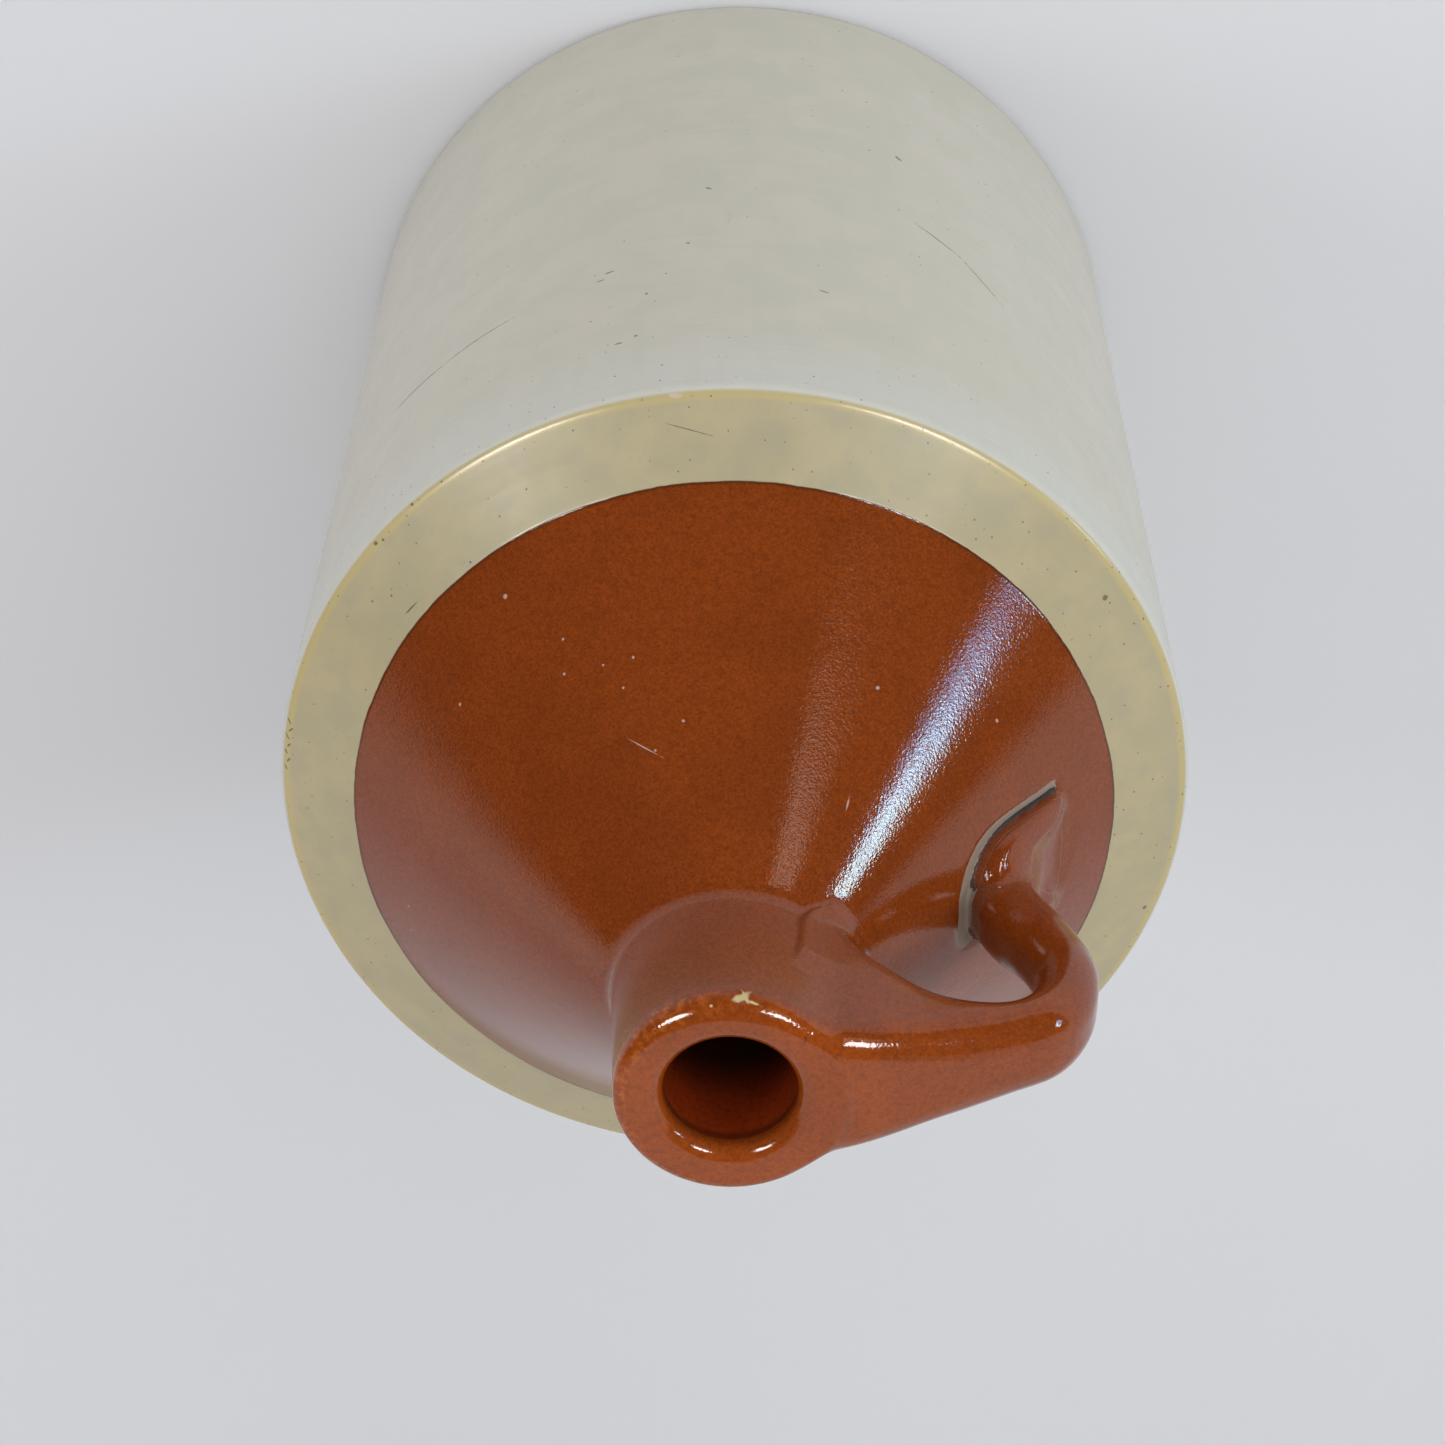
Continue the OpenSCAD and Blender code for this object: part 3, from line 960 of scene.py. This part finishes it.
# %% Shared effect: specks
g, given, out = new_group(
    "specks",
    {"Place": "Vector", "Spacing": "Float", "Share": "Float", "Size": "Float"},
    {"Mask": "Float"})
scale = g.math("DIVIDE", 1, given["Spacing"])
cells = g.add("TexVoronoi", {"Vector": given["Place"], "Scale": scale}).outputs
pick = g.add("SeparateColor", (cells["Color"],)).outputs
size = g.math("MULTIPLY", g.math("ADD", g.math("MULTIPLY", pick[1], 0.75), 0.25), given["Size"])
chosen = g.math("LESS_THAN", pick[0], given["Share"])
ratio = g.math("DIVIDE", g.math("MULTIPLY", cells["Distance"], given["Spacing"]), size)
g.tree.links.new(g.math("MULTIPLY", g.fade(ratio, 1.0, 0.45), chosen), out["Mask"])
SPECKS = g.tree
print("group", SPECKS.name, "has", len(SPECKS.nodes), "nodes")

# %% [markdown]
# Fingers leave faint rings while the wheel turns. Noise that depends on the height alone
# gives whole rings, and noise stretched sideways gives broken ones. A slow drift keeps the
# whole rings from looking machined.

# %% Shared effect: rings from the wheel
g, given, out = new_group(
    "wheel_rings",
    {"Place": "Vector", "Height": "Float", "Spacing": "Float"},
    {"Rings": "Float", "Broken": "Float"})
drift = g.math("MULTIPLY", g.noise(given["Place"], 0.012, 1), 14)
level = g.math("DIVIDE", g.math("ADD", given["Height"], drift), given["Spacing"])
ring_noise = {"W": level, "Scale": 1, "Detail": 3, "Roughness": 0.6}
rings = g.add("TexNoise", ring_noise, noise_dimensions="1D").outputs[0]
stretched = g.vector("MULTIPLY", given["Place"], (0.05, 0.05, 1.1))
g.tree.links.new(rings, out["Rings"])
g.tree.links.new(g.noise(stretched, 1, 4), out["Broken"])
RINGS = g.tree


def use(g, group, values=None):
    """Puts a shared effect into a material and returns its outputs."""
    return g.add("Group", values or {}, node_tree=group).outputs


print("group", RINGS.name, "has", len(RINGS.nodes), "nodes")

# %% [markdown]
# The outside is one skin with three finishes that melted side by side in the kiln: a grey
# cream glaze on the body, a yellower one on the ledge where it ran thick, and an iron brown
# over the cone, neck and handle. The brown was dipped, so its edge is crisp but wanders a
# little, and it is darker where the glaze rolled back. Iron specks burn through all three.

# %% Colours of the glazes
BODY_GREY = rgb(192, 189, 171)
BODY_WARM = rgb(200, 193, 177)
BODY_SHEEN = rgb(199, 198, 187)
LEDGE_CREAM = rgb(173, 162, 129)
LEDGE_WARM = rgb(181, 168, 132)
LEDGE_GREY = rgb(166, 158, 132)
EDGE_YELLOW = rgb(192, 173, 114)
BROWN = rgb(129, 58, 19)
BROWN_LIGHT = rgb(152, 71, 22)
BROWN_DARK = rgb(94, 41, 16)
BROWN_LINE = rgb(70, 36, 18)
BROWN_HIGH = rgb(166, 76, 18)
ORANGE = rgb(178, 98, 38)
PALE_SPECK = rgb(196, 168, 150)
STREAK_GREY = rgb(186, 182, 164)
RING_GREY = rgb(176, 172, 156)
IRON = rgb(70, 52, 38)
CHIP = rgb(205, 186, 138)
PALE_MARK = rgb(214, 192, 180)
print("the brown as linear values:", [round(c, 3) for c in BROWN[:3]])

# %% [markdown]
# The brown is mottled like wet sand, with grains about half a millimetre across. It is
# lighter and more orange where it ran off the high places: the lip, the handle and the
# round edges. Its lower edge was the dipping line, so it wavers and is darker there.

# %% Glazed outside: iron brown
BROWN_EDGE_R = 71.3
outside_finish, g, shader = new_material("glazed_outside")
spot = use(g, PLACE)
place, radius, height, around = (spot[name] for name in ("Place", "Radius", "Height", "Around"))
wander = g.math("MULTIPLY", g.math("SUBTRACT", g.noise(around, 5, 3), 0.5), 0.8)
ripple = g.math("MULTIPLY", g.math("SUBTRACT", g.noise(place, 0.5, 2), 0.5), 0.2)
edge = g.math("ADD", g.math("ADD", wander, ripple), BROWN_EDGE_R)
inside_edge = g.math("SUBTRACT", edge, radius)
brown_mask = g.fade(inside_edge, -0.1, 0.1)
brown_rim = g.fade(inside_edge, 0.6, 0.1)

on_lip = g.fade(height, LIP_Z - 4, LIP_Z - 1.5)
on_handle = g.math("MULTIPLY", g.fade(height, 262, 275), g.fade(radius, 24, 30))
high = g.math("MAXIMUM", on_lip, g.math("MULTIPLY", on_handle, 0.5))
sand = g.noise(place, 2.2, 2, 0.6)
blots = g.noise(place, 0.8, 2)
clouds = g.noise(place, 0.05, 2)
brown = g.mix(g.fade(sand, 0.25, 0.75), BROWN_DARK, BROWN_LIGHT)
brown = g.mix(0.5, brown, g.mix(high, BROWN, BROWN_HIGH))
brown = g.mix(g.math("MULTIPLY", g.fade(blots, 0.52, 0.35), 0.25), brown, BROWN_DARK)
brown = g.mix(g.math("MULTIPLY", g.fade(clouds, 0.6, 0.35), 0.22), brown, BROWN_DARK)
dark_specks = use(g, SPECKS, {"Place": place, "Spacing": 0.9, "Share": 0.45, "Size": 0.24})["Mask"]
brown = g.mix(g.math("MULTIPLY", dark_specks, 0.5), brown, BROWN_DARK)
brown = g.mix(g.math("MULTIPLY", brown_rim, 0.7), brown, BROWN_LINE)
pale_specks = use(g, SPECKS, {"Place": place, "Spacing": 3.4, "Share": 0.05, "Size": 0.4})["Mask"]
brown = g.mix(g.math("MULTIPLY", pale_specks, 0.7), brown, PALE_SPECK)
lip_flank = g.math("MULTIPLY", g.fade(height, LIP_Z - 4, LIP_Z - 3), g.fade(radius, 17, 18))
left_side = g.fade(g.add("SeparateXYZ", (place,)).outputs["X"], 4, -9)
breaking = g.math("MULTIPLY", g.fade(g.noise(place, 0.8, 4, 0.6), 0.47, 0.65), lip_flank)
brown = g.mix(g.math("MULTIPLY", g.math("MULTIPLY", breaking, left_side), 0.6), brown, ORANGE)
print("nodes for the brown:", len(g.tree.nodes))

# %% [markdown]
# The cream glaze is greyer on the body and yellower on the ledge, where it lies thick. It
# thinned to a fine yellow line on the outer edge of the shoulder. Iron specks burned through
# it everywhere, and most of them sit near the shoulder.

# %% Glazed outside: cream body and ledge
rings = use(g, RINGS, {"Place": place, "Height": height, "Spacing": 5.5})
patches = g.noise(place, 0.09, 2)
streaks = g.noise(g.vector("MULTIPLY", place, (0.35, 0.35, 0.05)), 1, 2)
body = g.mix(g.fade(patches, 0.2, 0.85), BODY_GREY, BODY_WARM)
# Painted reflection: the top 30 mm of the body are painted lighter and cooler, standing in for the pale
# sheen of its glaze there.
body = g.mix(g.fade(height, SHOULDER_Z - 32, SHOULDER_Z - 3), body, BODY_SHEEN)
body = g.mix(g.math("MULTIPLY", g.fade(streaks, 0.4, 0.75), 0.14), body, STREAK_GREY)
body = g.mix(g.math("MULTIPLY", g.fade(rings["Broken"], 0.5, 0.8), 0.14), body, RING_GREY)
ledge = g.mix(g.fade(patches, 0.3, 0.7), LEDGE_CREAM, LEDGE_WARM)
ledge = g.mix(g.math("MULTIPLY", g.fade(g.noise(place, 0.16, 2), 0.45, 0.7), 0.5), ledge, LEDGE_GREY)
ledge = g.mix(g.math("MULTIPLY", g.fade(blots, 0.5, 0.8), 0.3), ledge, LEDGE_GREY)
on_ledge = g.fade(height, SHOULDER_Z - 1.3, SHOULDER_Z - 0.6)
edge_waver = g.math("ADD", radius, g.math("MULTIPLY", blots, 0.8))
yellow = g.math("MULTIPLY", g.fade(edge_waver, BODY_R - 1.9, BODY_R - 1.0), on_ledge)
cream = g.mix(on_ledge, body, ledge)
cream = g.mix(g.math("MULTIPLY", yellow, 0.65), cream, EDGE_YELLOW)
near_shoulder = g.fade(height, 150, SHOULDER_Z)
iron_share = g.math("ADD", g.math("MULTIPLY", near_shoulder, 0.32), 0.14)
iron_specks = use(g, SPECKS, {"Place": place, "Spacing": 1.7, "Share": iron_share, "Size": 0.3})["Mask"]
cream = g.mix(g.math("MULTIPLY", iron_specks, 0.72), cream, IRON)
rim_specks = use(g, SPECKS, {"Place": place, "Spacing": 1.1, "Share": 0.4, "Size": 0.3})["Mask"]
cream = g.mix(g.math("MULTIPLY", g.math("MULTIPLY", rim_specks, yellow), 0.7), cream, IRON)
glaze = g.mix(brown_mask, cream, brown)
print("nodes with the cream:", len(g.tree.nodes))

# %% [markdown]
# Years of use left a few marks that the photograph shows: scratches and scuffs on the body,
# dark dashes on the ledge, a burst blister on the cone and a chip in the lip, where the
# cream clay shows. Each is a line between two places on the jug, with half its width. A
# place is given as degrees round the axis and a height on the wall, degrees and a radius on
# the shoulder, or degrees, a radius and a depth below the lip.

# %% Places of the marks
def on_wall(degrees, z):
    a = math.radians(degrees)
    return BODY_R * math.cos(a), BODY_R * math.sin(a), z


RIM_TURNS = [(BROWN_R, BROWN_Z)] + rim_top


def on_shoulder(degrees, r):
    a = math.radians(degrees)
    ledge_z = float(np.interp(r, *zip(*RIM_TURNS)))
    return r * math.cos(a), r * math.sin(a), cone_z(r) if r < BROWN_R else ledge_z


def on_neck(degrees, r, below_lip):
    a = math.radians(degrees)
    return r * math.cos(a), r * math.sin(a), LIP_Z - below_lip


DARK_MARKS = [
    (on_wall(65.5, 106), on_wall(59, 112), 0.25), (on_wall(59, 112), on_wall(53, 122), 0.2),
    (on_wall(94.2, 106), on_wall(93.6, 106.6), 0.35), (on_wall(67.5, 74), on_wall(67, 75), 0.4),
    (on_wall(96.5, 132.4), on_wall(96.1, 132.7), 0.35),
    (on_wall(101.5, 153.4), on_wall(101.1, 153.5), 0.3),
    (on_wall(106.9, 139.9), on_wall(106.1, 139.6), 0.35),
    (on_wall(108, 142.7), on_wall(107.2, 142.4), 0.25),
    (on_wall(104.7, 173), on_wall(104.1, 172.9), 0.35),
    (on_wall(102.5, 171.2), on_wall(102.1, 171.1), 0.3),
    (on_wall(79.5, 152), on_wall(78.6, 152.6), 0.3),
    (on_wall(141, 143.2), on_wall(131, 143.8), 0.3), (on_wall(131, 143.8), on_wall(120.5, 143.4), 0.25),
    (on_shoulder(144.2, 73.6), on_shoulder(141.7, 73.4), 0.2),
    (on_shoulder(140.3, 84.9), on_shoulder(139.8, 84.8), 0.35),
    (on_shoulder(139.1, 84.4), on_shoulder(138.8, 84.2), 0.25),
    (on_shoulder(133.2, 85.2), on_shoulder(132.7, 85.2), 0.3),
    (on_shoulder(98.8, 81), on_shoulder(93, 78.4), 0.1),
    (on_shoulder(33.6, 81), on_shoulder(33.9, 81.1), 0.5),
    (on_shoulder(-17.3, 83), on_shoulder(-16.9, 83.2), 0.4),
    (on_shoulder(145.4, 62.3), on_shoulder(145.1, 62.2), 0.25),
    (on_shoulder(62.9, 45.5), on_shoulder(62.6, 45.5), 0.22),
    (on_shoulder(17.3, 55.6), on_shoulder(15.2, 53.9), 0.2),
    (on_neck(46, 17.7, 0), on_neck(47.5, 18.6, 0), 0.25),
]
for n in range(7):
    turn = 168.6 + 1.15 * n
    out_r = 84.7 + 0.5 * (-1) ** n
    DARK_MARKS.append((on_shoulder(turn, out_r), on_shoulder(turn + 0.5, out_r - 0.5 * (-1) ** n), 0.22))

PALE_MARKS = [
    (on_shoulder(97.6, 85.1), on_shoulder(96.7, 85), 0.5),
    (on_shoulder(115.4, 41.3), on_shoulder(109.4, 38.4), 0.12),
    (on_shoulder(128.8, 65.5), on_shoulder(128.3, 65.3), 0.35),
    (on_shoulder(146.5, 59), on_shoulder(146.1, 59), 0.25),
    (on_shoulder(33.6, 56.7), on_shoulder(33.9, 56.6), 0.28),
    (on_shoulder(59.5, 49.7), on_shoulder(59.2, 49.6), 0.3),
    (on_shoulder(55.5, 35.6), on_shoulder(55, 34.4), 0.2),
    (on_shoulder(122.1, 56.7), on_shoulder(122, 56.5), 0.18),
    (on_shoulder(124.5, 52.7), on_shoulder(124.4, 52.5), 0.16),
    (on_shoulder(110.1, 51.1), on_shoulder(110, 50.9), 0.18),
    (on_shoulder(116.4, 51.4), on_shoulder(116.3, 51.3), 0.15),
    (on_shoulder(113.7, 47.8), on_shoulder(113.6, 47.7), 0.16),
    (on_shoulder(101.9, 41.9), on_shoulder(101.8, 41.8), 0.18),
]
CHIPS = [
    ((1, 19.7, LIP_Z - 2.3), (2.5, 20, LIP_Z - 2.8), 0.75),
    ((2, 20.3, LIP_Z - 3.4), (2.9, 19.4, LIP_Z - 1.8), 0.35),
    ((2.8, 19.5, LIP_Z - 2), (4.6, 18.9, LIP_Z - 1.7), 0.25),
    ((-3.5, 18.8, LIP_Z - 1.2), (-2.8, 19, LIP_Z - 1.5), 0.14),
]
print("marks:", len(DARK_MARKS), "dark,", len(PALE_MARKS), "pale and", len(CHIPS), "chips")

# %% [markdown]
# A painted picture could carry these marks, but lines given as places stay sharp at any
# distance. A short mark is a dot: the distance to its middle. A long one is a ball squeezed
# into a sliver that lies along the line: the Mapping node turns and scales space around it,
# and the distance to its middle is measured there. All of them share one ragged edge.

# %% Marks of use
SHORTEST_LINE = 0.8
FAR_FROM_MARKS = 9
SLIVER_DEPTH = 1.2


def marks(g, place, lines):
    """One mask for several marks: short ones are dots, long ones squeezed into a sliver."""
    ragged = g.math("ADD", g.math("MULTIPLY", g.noise(place, 0.9, 3), 1.4), 0.3)
    nearest = FAR_FROM_MARKS
    for start, end, half_width in lines:
        start, end = Vector(start), Vector(end)
        middle = (start + end) / 2
        if (end - start).length < SHORTEST_LINE:
            gap = g.math("DIVIDE", g.vector("DISTANCE", place, middle), half_width + 0.1)
            nearest = g.math("MINIMUM", nearest, gap)
            continue
        length_way = (end - start).normalized()
        outward = Vector((middle.x, middle.y, 0 if middle.z < SHOULDER_Z - 4 else middle.xy.length))
        width_way = outward.cross(length_way).normalized()
        depth_way = length_way.cross(width_way)
        turn = Matrix((length_way, width_way, depth_way)).transposed().to_euler()
        size = ((end - start).length * 0.55 + half_width, half_width, SLIVER_DEPTH)
        given = {"Vector": place, "Location": middle, "Rotation": turn, "Scale": size}
        sliver = g.add("Mapping", given, vector_type="TEXTURE").outputs[0]
        nearest = g.math("MINIMUM", nearest, g.vector("LENGTH", sliver))
    return g.fade(g.math("MULTIPLY", nearest, ragged), 1.15, 0.55)


dark_marks = marks(g, place, DARK_MARKS)
pale_marks = marks(g, place, PALE_MARKS)
chips = marks(g, place, CHIPS)
glaze = g.mix(g.math("MULTIPLY", dark_marks, 0.7), glaze, IRON)
glaze = g.mix(g.math("MULTIPLY", pale_marks, 0.55), glaze, PALE_MARK)
glaze = g.mix(g.math("MULTIPLY", chips, 0.9), glaze, CHIP)
print("nodes with the marks:", len(g.tree.nodes))

# %% [markdown]
# The groove beside the pressed end stayed bare: the glaze bridged it and pulled back. Its
# floor is grey clay. Against the little wall a near-black colour is painted as the shade in
# the deep crevice, and it reaches wider further from the axis. The attribute gives the
# distance from that wall, and a little noise makes both borders ragged.

# %% Bare groove
CREVICE_SHADE = rgb(44, 40, 40)
GROOVE_CLAY = rgb(150, 132, 116)
gap_node = g.add("Attribute", attribute_name="groove_gap", attribute_type="GEOMETRY")
ragged = g.math("MULTIPLY", g.math("SUBTRACT", g.noise(place, 1.1, 2), 0.5), 0.45)
from_wall = g.math("ADD", gap_node.outputs["Fac"], ragged)
bare = g.math("MULTIPLY", g.fade(from_wall, 2.75, 2.4), g.fade(from_wall, -0.15, 0.1))
# Painted shade: next to the wall the groove is painted near-black for the shadow in the crevice.
shade_reach = g.add("MapRange", (radius, 47, 53, 0.12, 1.0)).outputs[0]
out_of_crevice_shade = g.fade(g.math("DIVIDE", from_wall, shade_reach), 0.6, 1.25)
glaze = g.mix(bare, glaze, g.mix(out_of_crevice_shade, CREVICE_SHADE, GROOVE_CLAY))
in_groove = (groove_gap > 0) & (groove_gap < GROOVE_W)
print("points of the mesh in the groove:", int(in_groove.sum()))

# %% [markdown]
# Glaze is glass, so the gloss comes from a low roughness over a colour that stays matt below
# it. The brown is glossier than the cream. Its skin is not flat: the long waves bend a
# window's reflection, and the fine ones, called orange peel, make its edge fuzzy.

# %% Gloss and orange peel
cream_mask = g.math("SUBTRACT", 1, brown_mask)
rough = g.math("ADD", g.math("MULTIPLY", blots, 0.06), 0.05)
rough = g.math("ADD", rough, g.math("MULTIPLY", cream_mask, 0.16))
rough = g.math("ADD", rough, g.math("MULTIPLY", bare, 0.6))
bumps = g.math("MULTIPLY", g.noise(place, 0.12, 2, 0.4), 0.05)
peel = g.math("ADD", g.math("MULTIPLY", brown_mask, 0.022), 0.006)
bumps = g.math("ADD", bumps, g.math("MULTIPLY", g.noise(place, 2, 1, 0.6), peel))
bumps = g.math("ADD", bumps, g.math("MULTIPLY", g.math("MULTIPLY", rings["Rings"], cream_mask), 0.05))
bumps = g.math("ADD", bumps, g.math("MULTIPLY", brown_mask, 0.12))
bump = g.add("Bump", {"Height": bumps, "Distance": 0.001, "Strength": 1.0}).outputs[0]
g.tree.links.new(glaze, shader.inputs["Base Color"])
g.tree.links.new(rough, shader.inputs["Roughness"])
g.tree.links.new(bump, shader.inputs["Normal"])
shader.inputs["IOR"].default_value = 1.5
print("whole glazed outside:", len(g.tree.nodes), "nodes")

# %% [markdown]
# Inside, such jugs wear a thin dark slip. The bore is painted red-brown near the lip and
# darker further down, a painted shade for the light that falls off inside the bore, with a
# darker band just under the rounding. The room below is hidden, so it gets the same slip in
# its darkest colour, with rings from throwing.

# %% Slip inside
SLIP_RED = rgb(140, 50, 14)
DARK_SLIP_AND_SHADE = rgb(58, 26, 14)
SLIP_SPECK = rgb(40, 20, 12)
inside_slip, g, shader = new_material("slip_inside")
spot = use(g, PLACE)
place, height = spot["Place"], spot["Height"]
rings = use(g, RINGS, {"Place": place, "Height": height, "Spacing": 7})
# Painted shade: the colour darkens from red-brown to dark brown with depth in the bore.
slip = g.mix(g.fade(height, LIP_Z - 27, LIP_Z - 12), DARK_SLIP_AND_SHADE, SLIP_RED)
slip = g.mix(g.math("MULTIPLY", g.fade(g.noise(place, 0.9, 3), 0.4, 0.7), 0.3), slip, DARK_SLIP_AND_SHADE)
under_round = g.math("ABSOLUTE", g.math("SUBTRACT", height, LIP_Z - MOUTH_ROUND - 1.6))
slip = g.mix(g.math("MULTIPLY", g.fade(under_round, 1.8, 0.2), 0.65), slip, DARK_SLIP_AND_SHADE)
specks = use(g, SPECKS, {"Place": place, "Spacing": 1.6, "Share": 0.3, "Size": 0.35})["Mask"]
slip = g.mix(g.math("MULTIPLY", specks, 0.5), slip, SLIP_SPECK)
rough = g.math("ADD", g.math("MULTIPLY", rings["Broken"], 0.1), 0.12)
g.tree.links.new(slip, shader.inputs["Base Color"])
g.tree.links.new(rough, shader.inputs["Roughness"])
slip_bumps = g.math("MULTIPLY", g.noise(place, 0.3, 2), 0.4)
bump = g.add("Bump", {"Height": slip_bumps, "Distance": 0.0001}).outputs[0]
g.tree.links.new(bump, shader.inputs["Normal"])
print("slip inside:", len(g.tree.nodes), "nodes")

# %% [markdown]
# The underside is wiped clean before firing, or the jug would stick to the shelf of the
# kiln. So the base is bare stoneware: sandy, matt, with iron specks and a greyer edge.

# %% Bare clay of the base
CLAY = rgb(178, 158, 134)
CLAY_LIGHT = rgb(192, 176, 150)
CLAY_EDGE = rgb(140, 128, 112)
bare_clay, g, shader = new_material("bare_clay_base")
spot = use(g, PLACE)
place, radius = spot["Place"], spot["Radius"]
rings = use(g, RINGS, {"Place": place, "Height": radius, "Spacing": 4})
clay = g.mix(g.fade(g.noise(place, 0.3, 4), 0.35, 0.7), CLAY, CLAY_LIGHT)
specks = use(g, SPECKS, {"Place": place, "Spacing": 1.8, "Share": 0.3, "Size": 0.4})["Mask"]
clay = g.mix(g.math("MULTIPLY", specks, 0.7), clay, IRON)
clay = g.mix(g.math("MULTIPLY", g.fade(radius, BODY_R - 9, BODY_R - 4), 0.5), clay, CLAY_EDGE)
rough = g.math("ADD", g.math("MULTIPLY", rings["Broken"], 0.2), 0.7)
g.tree.links.new(clay, shader.inputs["Base Color"])
g.tree.links.new(rough, shader.inputs["Roughness"])
bump = g.add("Bump", {"Height": rings["Rings"], "Distance": 0.0006}).outputs[0]
g.tree.links.new(bump, shader.inputs["Normal"])
print("bare clay:", len(g.tree.nodes), "nodes")

# %% [markdown]
# The pale background has no pattern, only a slow drift between two nearly equal greys. It is
# matt, so it mirrors no lamp. The three finishes of the jug go on in the order of the face
# numbers that were set above: outside, inside, base.

# %% Floor finish, and hand out the finishes
FLOOR_GREY = rgb(212, 212, 215)
FLOOR_PALE = rgb(220, 220, 223)
pale_floor, g, shader = new_material("pale_floor")
drift = g.noise(g.add("TexCoord").outputs["Object"], 3, 2)
g.tree.links.new(g.mix(drift, FLOOR_GREY, FLOOR_PALE), shader.inputs["Base Color"])
shader.inputs["Roughness"].default_value = 0.9

for finish_of in (outside_finish, inside_slip, bare_clay):
    jug.data.materials.append(finish_of)
floor.data.materials.append(pale_floor)
print("finishes:", [m.name for m in jug.data.materials])
